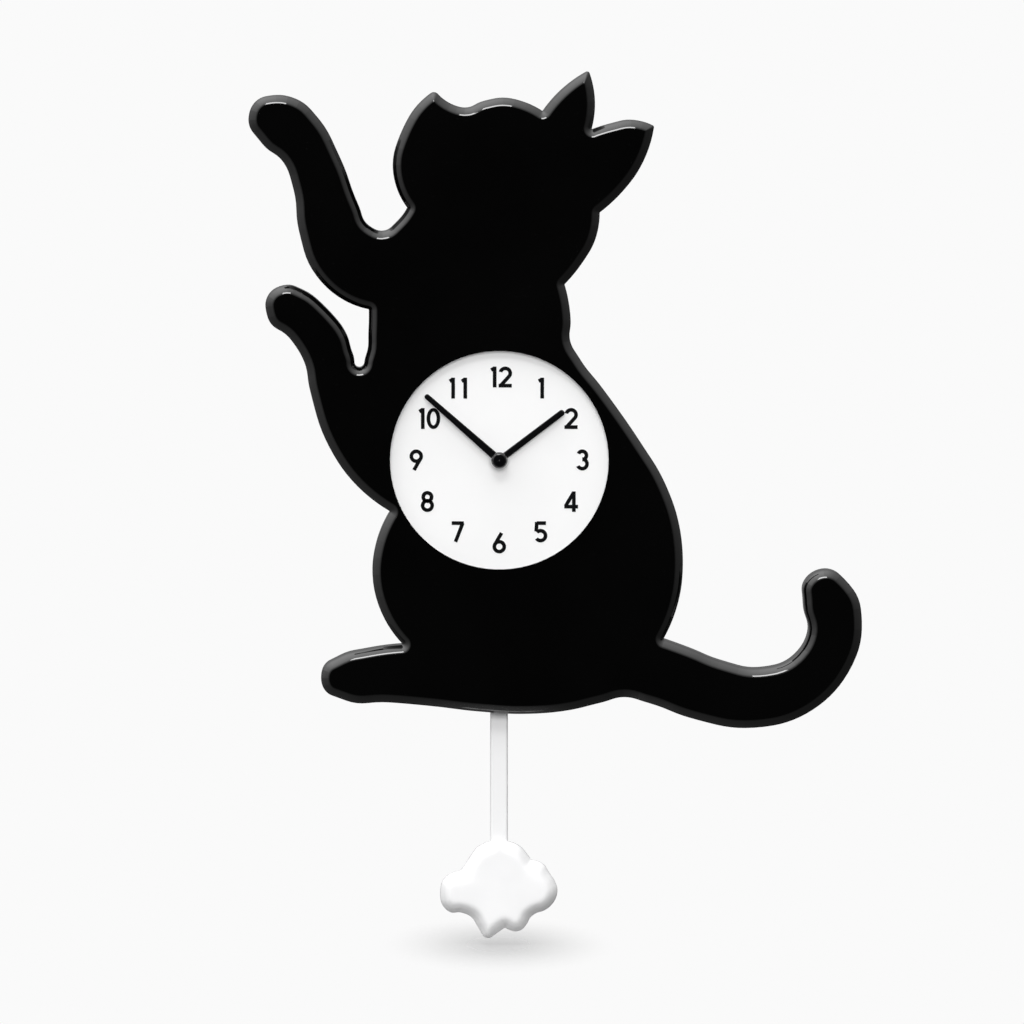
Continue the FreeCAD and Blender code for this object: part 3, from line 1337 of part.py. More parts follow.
def pendulum_bob():
    """A cloud with a puffed rim: rings of its outline draw in towards the front and the back."""
    rings = []
    for side in (-1, 1):
        order = range(BOB_RINGS + 1)
        for ring in (reversed(order) if side < 0 else order):
            angle = math.pi / 2 * ring / BOB_RINGS
            inward = value("bob_puff") * (1 - math.cos(angle))
            rise = f"{side * (BOB_RIM_SHARE + (1 - BOB_RIM_SHARE) * math.sin(angle))} * bob_depth / 2"
            rings.append(outline_feature(bob_wire(inward), rise))
    loft = doc.addObject("Part::Loft", "puffed_cloud")
    loft.Sections = rings
    loft.Solid = True
    loft.Ruled = True
    bind(loft, {".Placement.Base.y": "-rod_middle", ".Placement.Base.z": "-bob_drop"})
    socket = rod_section(f"-bob_drop + {BOB_TOP_SHARE} * bob_height - rod_seat - fit_gap", "-bob_drop + bob_height",
                         "fit_gap")
    finished(cut(loft, socket), "pendulum_bob")


def build():
    cat_shell()
    back_cover()
    cover_screws()
    hanger_plate()
    hanger_screws()
    dial_plate()
    dial_screws()
    dial_numerals()
    hands()
    hand_cap()
    movement_case()
    movement_cover()
    movement_screws()
    gear_bridge()
    drive_train()
    hand_train()
    setting_knob()
    stator()
    coil_core()
    motor_coil()
    circuit()
    battery()
    battery_contacts()
    pendulum_drive()
    pendulum_lever()
    pendulum_rod()
    pendulum_bob()


def check_and_write():
    doc.recompute()
    for item in doc.Objects:
        if {"Invalid", "Error"} & set(item.State):
            raise RuntimeError(f"{item.Label} failed: {item.State}")
    for piece in pieces:
        if piece.Shape.isNull() or not piece.Shape.isValid():
            raise RuntimeError(f"{piece.Label} has no valid shape")
    os.makedirs("parts", exist_ok=True)
    for piece in pieces:
        piece.Shape.exportStep(f"parts/{piece.Label}.step")
        print(f"{piece.Label}: {len(piece.Shape.Solids)} solids, {piece.Shape.Volume:.1f} cubic mm")


build()
check_and_write()
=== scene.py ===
"""Looks of the cat-shaped pendulum wall clock: finishes, rounded pieces, light and camera.

Lengths are in metres. The front faces -Y.
"""
import math

import bmesh
import bpy
from bpy.props import FloatProperty, FloatVectorProperty, IntProperty, PointerProperty
from mathutils import Matrix, Vector
from mathutils.kdtree import KDTree


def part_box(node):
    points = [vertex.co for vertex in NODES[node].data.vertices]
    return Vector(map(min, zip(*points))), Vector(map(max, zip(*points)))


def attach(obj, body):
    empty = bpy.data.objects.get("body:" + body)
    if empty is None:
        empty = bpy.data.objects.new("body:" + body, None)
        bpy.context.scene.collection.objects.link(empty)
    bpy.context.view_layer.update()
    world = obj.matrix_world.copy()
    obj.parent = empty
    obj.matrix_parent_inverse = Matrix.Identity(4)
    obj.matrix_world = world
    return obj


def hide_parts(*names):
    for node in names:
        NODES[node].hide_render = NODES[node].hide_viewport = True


bl_info = {
    "name": "Cat Pendulum Clock",
    "version": (1, 0, 0),
    "blender": (4, 5, 0),
    "location": "3D View > Sidebar > Cat Clock",
    "description": "Finishes, rounded pieces, light and camera of a cat-shaped pendulum wall clock",
    "category": "Object",
}

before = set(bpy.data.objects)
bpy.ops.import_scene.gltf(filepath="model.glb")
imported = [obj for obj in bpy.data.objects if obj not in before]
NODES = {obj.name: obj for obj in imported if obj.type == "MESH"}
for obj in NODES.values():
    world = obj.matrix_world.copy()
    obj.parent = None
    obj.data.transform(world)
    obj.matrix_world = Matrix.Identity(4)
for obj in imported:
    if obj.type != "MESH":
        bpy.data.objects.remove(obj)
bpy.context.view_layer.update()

# the photograph's frame: its width in pixels, the hand shaft in it, and the size of a pixel on the clock
FRAME_PIXELS = 1024
SHAFT_PIXEL_X = 499.35
SHAFT_PIXEL_Y = 460.15
PIXEL_SIZE = 0.00046

CLOCK_BODY = "clock_case"
MINUTE_BODY = "minute_hand_set"
HOUR_BODY = "hour_hand_set"
PENDULUM_BODY = "pendulum"
WELD_DISTANCE = 1e-6
# steps between two corners of the bob's outline, and the slack that finds its rim
RIM_STEPS = 6
RIM_SLACK = 1.02
# faces that turn less than the first angle are one face; edges that turn more than the second are sharp
FLAT_ANGLE = math.radians(1)
SHARP_ANGLE = math.radians(38)
EDGE_ROUNDS = 4
# slant of the case's flat bevel, and the slack by which its faces are known
BEVEL_SLANT = math.radians(45)
SLANT_SLACK = 0.1
# sides of the coils' wire
WIRE_SIDES = 6
# shares of the battery's length that its dark film and the film's seam take
FILM_SHARE = 0.7
SEAM_SHARE = 0.005
# places of the bob's creases and their depth, in shares of its width and height from its middle
CREASE_SHARES = ((-0.29, 0.20), (0.32, 0.25), (0.04, -0.40), (-0.24, -0.31), (0.30, -0.30))
# light of the room below and above, and how late it rises between them
ROOM_BOTTOM = 0.12
ROOM_TOP = 1.9
ROOM_RISE = 3.2
# each lamp: its place from the middle of the view, its width and height, and whether gloss mirrors it
LAMPS = {
    "top": (Vector((0, -0.2, 1.6)), 2.2, 1.6, False),
    "key": (Vector((-0.15, -1.4, 1.5)), 0.8, 0.4, True),
    "back": (Vector((0, 1.8, 0.6)), 1.0, 1.0, False),
    "front": (Vector((0, -2.4, 0.5)), 1.2, 1.2, False),
}
SETS = ("cat_clock_case", "cat_clock_dial", "cat_clock_pendulum", "cat_clock_movement", "cat_clock_stage")


def colour_setting(name, words, default):
    return FloatVectorProperty(name=name, description=words, subtype="COLOR", size=3, min=0.0, max=1.0,
                               default=default)


def length_setting(name, words, default):
    return FloatProperty(name=name, description=words, unit="LENGTH", min=0.0, default=default)


def share_setting(name, words, default):
    return FloatProperty(name=name, description=words, subtype="FACTOR", min=0.0, max=1.0, default=default)


def angle_setting(name, words, degrees):
    return FloatProperty(name=name, description=words, subtype="ANGLE", default=math.radians(degrees))


class CatClockCase(bpy.types.PropertyGroup):
    """Case, back cover and the steel parts on the back"""
    gloss_black: colour_setting("Case black", "Colour of the polished case", (0.0015, 0.0015, 0.0015))
    polish: share_setting("Case roughness", "Roughness of the polished case", 0.03)
    bevel: length_setting("Bevel", "Depth of the bevel round the front", 0.0044)
    steep: angle_setting("Steep side", "How far the bevel's outer edge turns from the front", 66.0)
    shallow: angle_setting("Shallow side", "How far the bevel's inner edge turns from the front", 17.0)
    cover_black: colour_setting("Cover black", "Colour of the moulded back cover", (0.018, 0.018, 0.02))
    spark_grain: length_setting("Spark grain", "Grain of the moulded plastic", 0.00045)
    zinc: colour_setting("Zinc", "Colour of the plated screws and hanger", (0.62, 0.63, 0.66))


class CatClockDial(bpy.types.PropertyGroup):
    """Dial, numerals, hands and cap"""
    dial_white: colour_setting("Dial white", "Colour of the dial plate", (0.92, 0.92, 0.92))
    ink: colour_setting("Ink", "Colour of the numerals", (0.004, 0.004, 0.0045))
    lacquer: colour_setting("Lacquer", "Colour of the hands", (0.003, 0.003, 0.0035))
    hand_edge: length_setting("Hand edge", "Rounding of the hands' edges", 0.00045)
    cap_black: colour_setting("Cap black", "Colour of the hub cap", (0.003, 0.003, 0.0035))


class CatClockPendulum(bpy.types.PropertyGroup):
    """Pendulum rod and bob"""
    gloss_white: colour_setting("Pendulum white", "Colour of the rod and the bob", (0.96, 0.96, 0.965))
    skin: length_setting("Skin", "Size of the bob's facets before they are smoothed", 0.0005)
    smoothing: IntProperty(name="Smoothing", description="Rounds of smoothing over the bob", min=0,
                           default=14)
    crease_share: share_setting("Crease", "Depth of the creases between lobes as a share of the bob", 0.12)
    crease_reach: length_setting("Crease reach", "How far a crease reaches", 0.0045)
    rim_share: share_setting("Rim", "Thickness of the bob's rim as a share of its whole", 0.2)
    moulded_round: length_setting("Moulded round", "Width of the rounding that the solid has", 0.003)
    puffed_round: length_setting("Puffed round", "Width of the soft rounding that shows", 0.0055)


class CatClockMovement(bpy.types.PropertyGroup):
    """Movement, wheels, coils and battery"""
    housing: colour_setting("Housing", "Colour of the movement's case", (0.022, 0.022, 0.024))
    natural: colour_setting("Natural plastic", "Colour of bobbins and pale wheels", (0.80, 0.80, 0.75))
    amber: colour_setting("Amber plastic", "Colour of the other wheels", (0.80, 0.55, 0.12))
    copper: colour_setting("Copper", "Colour of the enamelled wire", (0.70, 0.28, 0.11))
    wire: length_setting("Wire", "Radius of the coils' wire", 0.00014)
    steps: IntProperty(name="Steps", description="Steps of each turn of wire", min=8, default=28)


class CatClockStage(bpy.types.PropertyGroup):
    """Camera, lamps and floor"""
    distance: length_setting("Distance", "Distance of the camera", 6.0)
    elevation: angle_setting("Elevation", "Height of the camera over the horizon", 2.0)
    azimuth: angle_setting("Azimuth", "Turn of the camera from straight ahead", -0.7)
    backdrop: share_setting("Backdrop", "Level of the white backdrop", 0.956)
    floor_gap: length_setting("Floor gap", "Room between the bob and the floor", 0.003)
    # the floor's reach, depth, grey and cover shape a painted shadow under the bob: a grey patch that fades
    # out, over the real shadows that fall there
    floor_reach: length_setting("Floor reach", "Half width in which the floor fades out", 0.056)
    floor_depth: FloatProperty(name="Floor depth", description="Depth of the floor in times its width",
                               min=1.0, default=3.6)
    floor_shadow_grey: colour_setting("Floor grey", "Colour of the floor under the bob", (0.355, 0.355, 0.355))
    floor_shadow_cover: share_setting("Floor cover", "How much of the backdrop the floor hides", 0.58)
    top_power: FloatProperty(name="Top lamp", description="Power of the lamp above", unit="POWER",
                             default=2.5)
    key_power: FloatProperty(name="Key lamp", description="Power of the lamp above the front", unit="POWER",
                             default=8.0)
    front_power: FloatProperty(name="Front lamp", description="Power of the wide lamp in front", unit="POWER",
                               default=40.0)
    back_power: FloatProperty(name="Back lamp", description="Power of the lamp behind", unit="POWER",
                              default=20.0)


# Node trees


def wired(tree, kind, inputs=None, **settings):
    """A node with its settings, and its inputs set or linked."""
    item = tree.nodes.new(kind)
    for name, content in settings.items():
        setattr(item, name, content)
    for name, content in (inputs or {}).items():
        if isinstance(content, bpy.types.NodeSocket):
            tree.links.new(content, item.inputs[name])
        else:
            item.inputs[name].default_value = content
    return item


def new_group(name, numbers, results, kind="Float"):
    """A shader node group with a vector, numbered inputs and outputs of one kind."""
    tree = bpy.data.node_groups.new(name, "ShaderNodeTree")
    tree.interface.new_socket("Vector", in_out="INPUT", socket_type="NodeSocketVector")
    for label, default in numbers.items():
        socket = tree.interface.new_socket(label, in_out="INPUT", socket_type="NodeSocketFloat")
        socket.default_value = default
    for label in results:
        tree.interface.new_socket(label, in_out="OUTPUT", socket_type="NodeSocket" + kind)
    return tree, tree.nodes.new("NodeGroupInput"), tree.nodes.new("NodeGroupOutput")


def spread(tree, source, low, high, start=0.0, end=1.0):
    """Stretches what lies between low and high to start and end."""
    return wired(tree, "ShaderNodeMapRange", {
        "Value": source, "From Min": low, "From Max": high, "To Min": start, "To Max": end,
    }, interpolation_type="SMOOTHSTEP").outputs["Result"]


def grain_group():
    """Moulding grain and a slow change of tone."""
    sizes = {"Grain Size": 0.0005, "Tone Size": 0.02}
    tree, start, end = new_group("Moulding Grain", sizes, ("Height", "Tone"))
    fine = wired(tree, "ShaderNodeMath", {0: 1.0, 1: start.outputs["Grain Size"]}, operation="DIVIDE")
    slow = wired(tree, "ShaderNodeMath", {0: 1.0, 1: start.outputs["Tone Size"]}, operation="DIVIDE")
    grain = wired(tree, "ShaderNodeTexNoise", {
        "Vector": start.outputs["Vector"], "Scale": fine.outputs[0], "Detail": 3.0, "Roughness": 0.55,
    })
    tone = wired(tree, "ShaderNodeTexNoise", {
        "Vector": start.outputs["Vector"], "Scale": slow.outputs[0], "Detail": 5.0, "Roughness": 0.5,
    })
    tree.links.new(grain.outputs["Fac"], end.inputs["Height"])
    tree.links.new(spread(tree, tone.outputs["Fac"], low=0.3, high=0.7), end.inputs["Tone"])
    return tree


def handling_group():
    """Hair scratches and finger smudges."""
    tree, start, end = new_group("Handling", {"Mark Size": 0.03}, ("Scratches", "Smudges"))
    scale = wired(tree, "ShaderNodeMath", {0: 1.0, 1: start.outputs["Mark Size"]}, operation="DIVIDE")
    turned = wired(tree, "ShaderNodeMapping", {
        "Vector": start.outputs["Vector"], "Rotation": (0.3, 0.9, 0.2), "Scale": (1.0, 1.0, 22.0),
    })
    hair = wired(tree, "ShaderNodeTexNoise", {
        "Vector": turned.outputs["Vector"], "Scale": scale.outputs[0], "Detail": 7.0, "Roughness": 0.7,
    })
    film = wired(tree, "ShaderNodeTexNoise", {
        "Vector": start.outputs["Vector"], "Scale": scale.outputs[0], "Detail": 8.0, "Roughness": 0.62,
        "Distortion": 0.4,
    })
    tree.links.new(spread(tree, hair.outputs["Fac"], low=0.66, high=0.72), end.inputs["Scratches"])
    tree.links.new(spread(tree, film.outputs["Fac"], low=0.42, high=0.68), end.inputs["Smudges"])
    return tree


def brushed_group():
    """Fine lines of a rolled or turned metal."""
    tree, start, end = new_group("Brushed Lines", {"Line Size": 0.0003}, ("Lines",))
    scale = wired(tree, "ShaderNodeMath", {0: 1.0, 1: start.outputs["Line Size"]}, operation="DIVIDE")
    stretched = wired(tree, "ShaderNodeMapping", {
        "Vector": start.outputs["Vector"], "Scale": (0.04, 1.0, 1.0),
    })
    lines = wired(tree, "ShaderNodeTexNoise", {
        "Vector": stretched.outputs["Vector"], "Scale": scale.outputs[0], "Detail": 4.0, "Roughness": 0.6,
    })
    tree.links.new(lines.outputs["Fac"], end.inputs["Lines"])
    return tree


def rolled_group():
    """Normals that turn across the bevel, from its steep outer edge to its shallow inner one."""
    sizes = {"Front": 0.0, "Bevel": 0.004, "Steep": 1.1, "Shallow": 0.3}
    tree, start, end = new_group("Rolled Bevel", sizes, ("Normal",), "Vector")
    spot = wired(tree, "ShaderNodeSeparateXYZ", {"Vector": start.outputs["Vector"]})
    outer = wired(tree, "ShaderNodeMath", {0: start.outputs["Front"], 1: start.outputs["Bevel"]})
    angle = wired(tree, "ShaderNodeMapRange", {
        "Value": spot.outputs["Y"], "From Min": start.outputs["Front"], "From Max": outer.outputs[0],
        "To Min": start.outputs["Shallow"], "To Max": start.outputs["Steep"],
    })
    facing = tree.nodes.new("ShaderNodeNewGeometry").outputs["Normal"]
    sideways = wired(tree, "ShaderNodeVectorMath", {0: facing, 1: (1, 0, 1)}, operation="MULTIPLY")
    level = wired(tree, "ShaderNodeVectorMath", {0: sideways.outputs[0]}, operation="LENGTH")
    outward = wired(tree, "ShaderNodeVectorMath", {0: sideways.outputs[0]}, operation="NORMALIZE")
    lean = wired(tree, "ShaderNodeMath", {0: angle.outputs[0]}, operation="SINE")
    rest = wired(tree, "ShaderNodeMath", {0: angle.outputs[0]}, operation="COSINE")
    out = wired(tree, "ShaderNodeVectorMath", {0: outward.outputs[0], "Scale": lean.outputs[0]},
                operation="SCALE")
    forward = wired(tree, "ShaderNodeVectorMath", {0: (0, -1, 0), "Scale": rest.outputs[0]},
                    operation="SCALE")
    rolled = wired(tree, "ShaderNodeVectorMath", {0: out.outputs[0], 1: forward.outputs[0]})
    slanted = wired(tree, "ShaderNodeMath", {
        0: level.outputs["Value"], 1: math.sin(BEVEL_SLANT), 2: SLANT_SLACK,
    }, operation="COMPARE")
    turned = wired(tree, "ShaderNodeMix", {0: slanted.outputs[0], 4: facing, 5: rolled.outputs[0]},
                   data_type="VECTOR")
    tree.links.new(turned.outputs[1], end.inputs["Normal"])
    return tree


def group_named(name, maker):
    return bpy.data.node_groups.get(name) or maker()


def placed_group(tree, name, maker, vector, **numbers):
    item = tree.nodes.new("ShaderNodeGroup")
    item.node_tree = group_named(name, maker)
    tree.links.new(vector, item.inputs["Vector"])
    for label, number in numbers.items():
        item.inputs[label.replace("_", " ")].default_value = number
    return item


def painted(tree, factor, low, high):
    """A colour between two others."""
    mix = wired(tree, "ShaderNodeMix", {0: factor, 6: (*low, 1.0), 7: (*high, 1.0)}, data_type="RGBA")
    return mix.outputs[2]


def shade(colour, share):
    """The colour, darker by a share."""
    return tuple(part * (1.0 - share) for part in colour)


# Finishes


class Finish:
    """A material with one Principled shader, its coordinates and its shared effects."""

    def __init__(self, name, metallic=0.0, coat=0.0, coat_roughness=0.03, specular=0.5):
        self.material = bpy.data.materials.new(name)
        self.material.use_nodes = True
        self.tree = self.material.node_tree
        self.shader = self.tree.nodes["Principled BSDF"]
        self.shader.inputs["Metallic"].default_value = metallic
        self.shader.inputs["Coat Weight"].default_value = coat
        self.shader.inputs["Coat Roughness"].default_value = coat_roughness
        self.shader.inputs["Specular IOR Level"].default_value = specular
        self.place = self.tree.nodes.new("ShaderNodeTexCoord").outputs["Object"]

    def grain(self, **sizes):
        return placed_group(self.tree, "Moulding Grain", grain_group, self.place, **sizes).outputs

    def handling(self, **sizes):
        return placed_group(self.tree, "Handling", handling_group, self.place, **sizes).outputs

    def lines(self, **sizes):
        return placed_group(self.tree, "Brushed Lines", brushed_group, self.place, **sizes).outputs["Lines"]

    def colour(self, factor, low, high):
        self.tree.links.new(painted(self.tree, factor, low, high), self.shader.inputs["Base Color"])

    def roughness(self, factor, low, high):
        self.tree.links.new(spread(self.tree, factor, 0.0, 1.0, low, high), self.shader.inputs["Roughness"])

    def bump(self, height, depth):
        bump = wired(self.tree, "ShaderNodeBump", {"Height": height, "Distance": depth, "Strength": 1.0})
        self.tree.links.new(bump.outputs["Normal"], self.shader.inputs["Normal"])
        return bump

    def rolled(self, bump, **sizes):
        """Turn the normals across the case's bevel, under the bump."""
        normal = placed_group(self.tree, "Rolled Bevel", rolled_group, self.place, **sizes).outputs["Normal"]
        self.tree.links.new(normal, bump.inputs["Normal"])


def moulded(name, colour, grain_size, grain_depth, roughness, coat=0.0, specular=0.5):
    """Moulded plastic: grain, a slow change of tone and a few scuffs."""
    finish = Finish(name, coat=coat, specular=specular)
    grain = finish.grain(Grain_Size=grain_size, Tone_Size=0.02)
    marks = finish.handling(Mark_Size=0.02)
    finish.colour(grain["Tone"], shade(colour, 0.12), colour)
    finish.roughness(marks["Smudges"], roughness, roughness * 0.8)
    finish.bump(grain["Height"], grain_depth)
    return finish.material


def metal(name, colour, line_size, roughness):
    """Bare or plated metal with fine lines and hair scratches."""
    finish = Finish(name, metallic=1.0)
    lines = finish.lines(Line_Size=line_size)
    marks = finish.handling(Mark_Size=0.008)
    finish.colour(lines, shade(colour, 0.25), colour)
    finish.roughness(marks["Scratches"], roughness, roughness + 0.2)
    finish.bump(lines, depth=0.00002)
    return finish.material


def case_polish(look):
    """Polished black plastic with a rolled bevel, a soft waviness and faint finger marks."""
    finish = Finish("case_black", specular=1.0)
    grain = finish.grain(Grain_Size=0.012, Tone_Size=0.05)
    marks = finish.handling(Mark_Size=0.035)
    finish.colour(grain["Tone"], shade(look.gloss_black, 0.3), look.gloss_black)
    finish.roughness(marks["Smudges"], look.polish, look.polish + 0.03)
    bump = finish.bump(grain["Height"], depth=0.00001)
    finish.rolled(bump, Front=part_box("cat_shell")[0].y, Bevel=look.bevel, Steep=look.steep,
                  Shallow=look.shallow)
    return finish.material


def cover_moulding(look):
    return moulded("cover_black", look.cover_black, grain_size=look.spark_grain, grain_depth=0.00006,
                   roughness=0.5)


def zinc_plate(look):
    return metal("screw_steel", look.zinc, line_size=0.0002, roughness=0.28)


def dial_paint(look):
    """Satin white dial with the faint tooth of a printed card."""
    finish = Finish("dial_white", specular=0.3)
    grain = finish.grain(Grain_Size=0.0003, Tone_Size=0.03)
    marks = finish.handling(Mark_Size=0.02)
    finish.colour(grain["Tone"], shade(look.dial_white, 0.02), look.dial_white)
    finish.roughness(marks["Smudges"], low=0.5, high=0.42)
    finish.bump(grain["Height"], depth=0.000008)
    return finish.material


def numeral_ink(look):
    return moulded("numeral_ink", look.ink, grain_size=0.0002, grain_depth=0.00001,
                   roughness=0.6, specular=0.12)


def hand_lacquer(look):
    """Black satin lacquer over stamped metal."""
    finish = Finish("hand_black", coat=0.25, coat_roughness=0.1, specular=0.2)
    grain = finish.grain(Grain_Size=0.0006, Tone_Size=0.008)
    marks = finish.handling(Mark_Size=0.01)
    finish.colour(grain["Tone"], shade(look.lacquer, 0.2), look.lacquer)
    finish.roughness(marks["Scratches"], low=0.28, high=0.4)
    finish.bump(grain["Height"], depth=0.00001)
    return finish.material


def cap_polish(look):
    return moulded("cap_black", look.cap_black, grain_size=0.002, grain_depth=0.00001,
                   roughness=0.14, coat=1.0)


def pendulum_polish(look):
    """Glossy white plastic with a slight waviness and faint smudges."""
    finish = Finish("pendulum_white", coat=0.5, coat_roughness=0.05)
    grain = finish.grain(Grain_Size=0.006, Tone_Size=0.02)
    marks = finish.handling(Mark_Size=0.02)
    finish.colour(grain["Tone"], shade(look.gloss_white, 0.03), look.gloss_white)
    finish.roughness(marks["Smudges"], low=0.16, high=0.24)
    finish.bump(grain["Height"], depth=0.00002)
    return finish.material


def housing_moulding(look):
    return moulded("movement_black", look.housing, grain_size=0.0006, grain_depth=0.00005, roughness=0.42)


def natural_moulding(look):
    return moulded("inner_white", look.natural, grain_size=0.0008, grain_depth=0.00002, roughness=0.35)


def pale_wheel(look):
    return moulded("gear_white", look.natural, grain_size=0.0005, grain_depth=0.00001, roughness=0.3)


def amber_wheel(look):
    return moulded("gear_yellow", look.amber, grain_size=0.0005, grain_depth=0.00001, roughness=0.3)


def turned_brass():
    return metal("shaft_brass", (0.75, 0.55, 0.22), line_size=0.0001, roughness=0.2)


def rolled_steel():
    return metal("silicon_steel", (0.45, 0.45, 0.47), line_size=0.0003, roughness=0.35)


def sintered_magnet():
    return metal("magnet_dark", (0.18, 0.18, 0.19), line_size=0.0006, roughness=0.45)


def nickel_can():
    return metal("crystal_can", (0.72, 0.72, 0.72), line_size=0.0004, roughness=0.18)


def nickel_strip():
    return metal("contact_nickel", (0.68, 0.67, 0.63), line_size=0.0002, roughness=0.25)


def potted_resin():
    return moulded("chip_black", (0.01, 0.01, 0.011), grain_size=0.0012, grain_depth=0.00008, roughness=0.3)


def enamelled_copper(look):
    """Copper wire under clear enamel."""
    finish = Finish("copper_wire", metallic=1.0, coat=0.8, coat_roughness=0.1)
    lines = finish.lines(Line_Size=0.0005)
    finish.colour(lines, shade(look.copper, 0.4), look.copper)
    finish.roughness(lines, low=0.2, high=0.4)
    finish.bump(lines, depth=0.00002)
    return finish.material


def solder_mask():
    """Green board with paler copper tracks under the mask."""
    finish = Finish("board_green", coat=0.4, coat_roughness=0.1)
    tracks = wired(finish.tree, "ShaderNodeTexBrick", {
        "Vector": finish.place, "Scale": 260.0, "Mortar Size": 0.06,
        "Color1": (0, 0, 0, 1), "Color2": (0, 0, 0, 1), "Mortar": (1, 1, 1, 1),
    })
    grain = finish.grain(Grain_Size=0.0004, Tone_Size=0.01)
    finish.colour(tracks.outputs["Fac"], low=(0.01, 0.09, 0.03), high=(0.05, 0.22, 0.08))
    finish.roughness(grain["Tone"], low=0.3, high=0.42)
    finish.bump(tracks.outputs["Fac"], depth=0.00003)
    return finish.material


def battery_sleeve():
    """Dark printed film with a copper-coloured end, plain of any words."""
    low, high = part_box("battery")
    finish = Finish("battery_sleeve", coat=0.7, coat_roughness=0.08)
    across = wired(finish.tree, "ShaderNodeSeparateXYZ", {"Vector": finish.place})
    length = high.x - low.x
    seam = low.x + length * FILM_SHARE
    along = wired(finish.tree, "ShaderNodeMapRange", {
        "Value": across.outputs["X"], "From Min": seam, "From Max": seam + length * SEAM_SHARE,
    })
    grain = finish.grain(Grain_Size=0.001, Tone_Size=0.01)
    finish.colour(along.outputs["Result"], low=(0.02, 0.02, 0.024), high=(0.55, 0.3, 0.1))
    finish.roughness(grain["Tone"], low=0.25, high=0.35)
    finish.bump(grain["Height"], depth=0.00001)
    return finish.material


# Meshes


def dress(material, *names):
    """Give CAD nodes their material."""
    for name in names:
        mesh = NODES[name].data
        mesh.materials.clear()
        mesh.materials.append(material)


def welded_copy(node, name):
    """A copy of a CAD node's mesh in which the corners are joined."""
    mesh = NODES[node].data.copy()
    shape = bmesh.new()
    shape.from_mesh(mesh)
    bmesh.ops.remove_doubles(shape, verts=shape.verts, dist=WELD_DISTANCE)
    shape.to_mesh(mesh)
    shape.free()
    piece = bpy.data.objects.new(name, mesh)
    bpy.context.scene.collection.objects.link(piece)
    return piece


def settled(piece, material):
    """The piece with its modifiers made part of its mesh."""
    depsgraph = bpy.context.evaluated_depsgraph_get()
    mesh = bpy.data.meshes.new_from_object(piece.evaluated_get(depsgraph))
    piece.modifiers.clear()
    piece.data = mesh
    mesh.materials.clear()
    mesh.materials.append(material)
    return piece


def shaded_smooth(piece, material):
    """The piece with soft shading between its sharp edges."""
    settled(piece, material)
    piece.data.shade_smooth()
    piece.data.set_sharp_from_angle(angle=SHARP_ANGLE)
    return piece


def rounded(node, name, edge, material):
    """A copy of a CAD node with rounded edges."""
    piece = welded_copy(node, name)
    shape = bmesh.new()
    shape.from_mesh(piece.data)
    bmesh.ops.dissolve_limit(shape, angle_limit=FLAT_ANGLE, verts=shape.verts, edges=shape.edges)
    shape.to_mesh(piece.data)
    shape.free()
    bevel = piece.modifiers.new("Edges", "BEVEL")
    bevel.width = edge
    bevel.segments = EDGE_ROUNDS
    bevel.limit_method = "ANGLE"
    bevel.angle_limit = SHARP_ANGLE
    return shaded_smooth(piece, material)


def rim_points(mesh, middle, reach):
    """Points along the bob's outline, seen from the front."""
    tree = KDTree(len(mesh.edges) * RIM_STEPS)
    count = 0
    for edge in mesh.edges:
        start, end = (mesh.vertices[corner].co for corner in edge.vertices)
        if abs(start.y - middle) < reach and abs(end.y - middle) < reach:
            for step in range(RIM_STEPS):
                spot = start.lerp(end, step / RIM_STEPS)
                tree.insert((spot.x, 0, spot.z), count)
                count += 1
    tree.balance()
    return tree


def moulded_share(inward, look):
    """Thickness of the solid bob at a distance from its outline, as a share of the whole."""
    rest = max(1 - inward / look.moulded_round, 0)
    return look.rim_share + (1 - look.rim_share) * math.sqrt(1 - rest * rest)


def puffed_share(inward, look):
    """The same for the softer bob that shows."""
    rise = math.sin(min(inward / look.puffed_round, 1) * math.pi / 2)
    return look.rim_share + (1 - look.rim_share) * rise


def crease_share(spot, low, high, look):
    """How thick the bob is near its creases, as a share of its thickness without them."""
    middle = (low + high) / 2
    size = high - low
    left = 1.0
    for across, rise in CREASE_SHARES:
        away = math.hypot(spot.x - middle.x - across * size.x, spot.z - middle.z - rise * size.z)
        left -= look.crease_share * math.exp(-(away / look.crease_reach) ** 2)
    return left


def puffed(node, name, look, material):
    """A copy of the bob whose rim is drawn out into soft lobes."""
    low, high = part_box(node)
    middle = (low.y + high.y) / 2
    piece = welded_copy(node, name)
    outline = rim_points(piece.data, middle, (high.y - low.y) / 2 * look.rim_share * RIM_SLACK)
    skin = piece.modifiers.new("Skin", "REMESH")
    skin.mode = "VOXEL"
    skin.voxel_size = look.skin
    settled(piece, material)
    for corner in piece.data.vertices:
        inward = outline.find((corner.co.x, 0, corner.co.z))[2]
        wanted = puffed_share(inward, look) * crease_share(corner.co, low, high, look)
        corner.co.y = middle + (corner.co.y - middle) * wanted / moulded_share(inward, look)
    soft = piece.modifiers.new("Soft", "SMOOTH")
    soft.use_x = False
    soft.use_z = False
    soft.factor = 0.5
    soft.iterations = look.smoothing
    settled(piece, material)
    piece.data.shade_smooth()
    return piece


def answered(piece, tree, answers, material):
    """The piece as a tree makes it from the answers to its inputs."""
    maker = piece.modifiers.new("Maker", "NODES")
    maker.node_group = tree
    for socket in tree.interface.items_tree:
        if socket.in_out == "INPUT" and socket.name in answers:
            maker[socket.identifier] = answers[socket.name]
    return settled(piece, material)


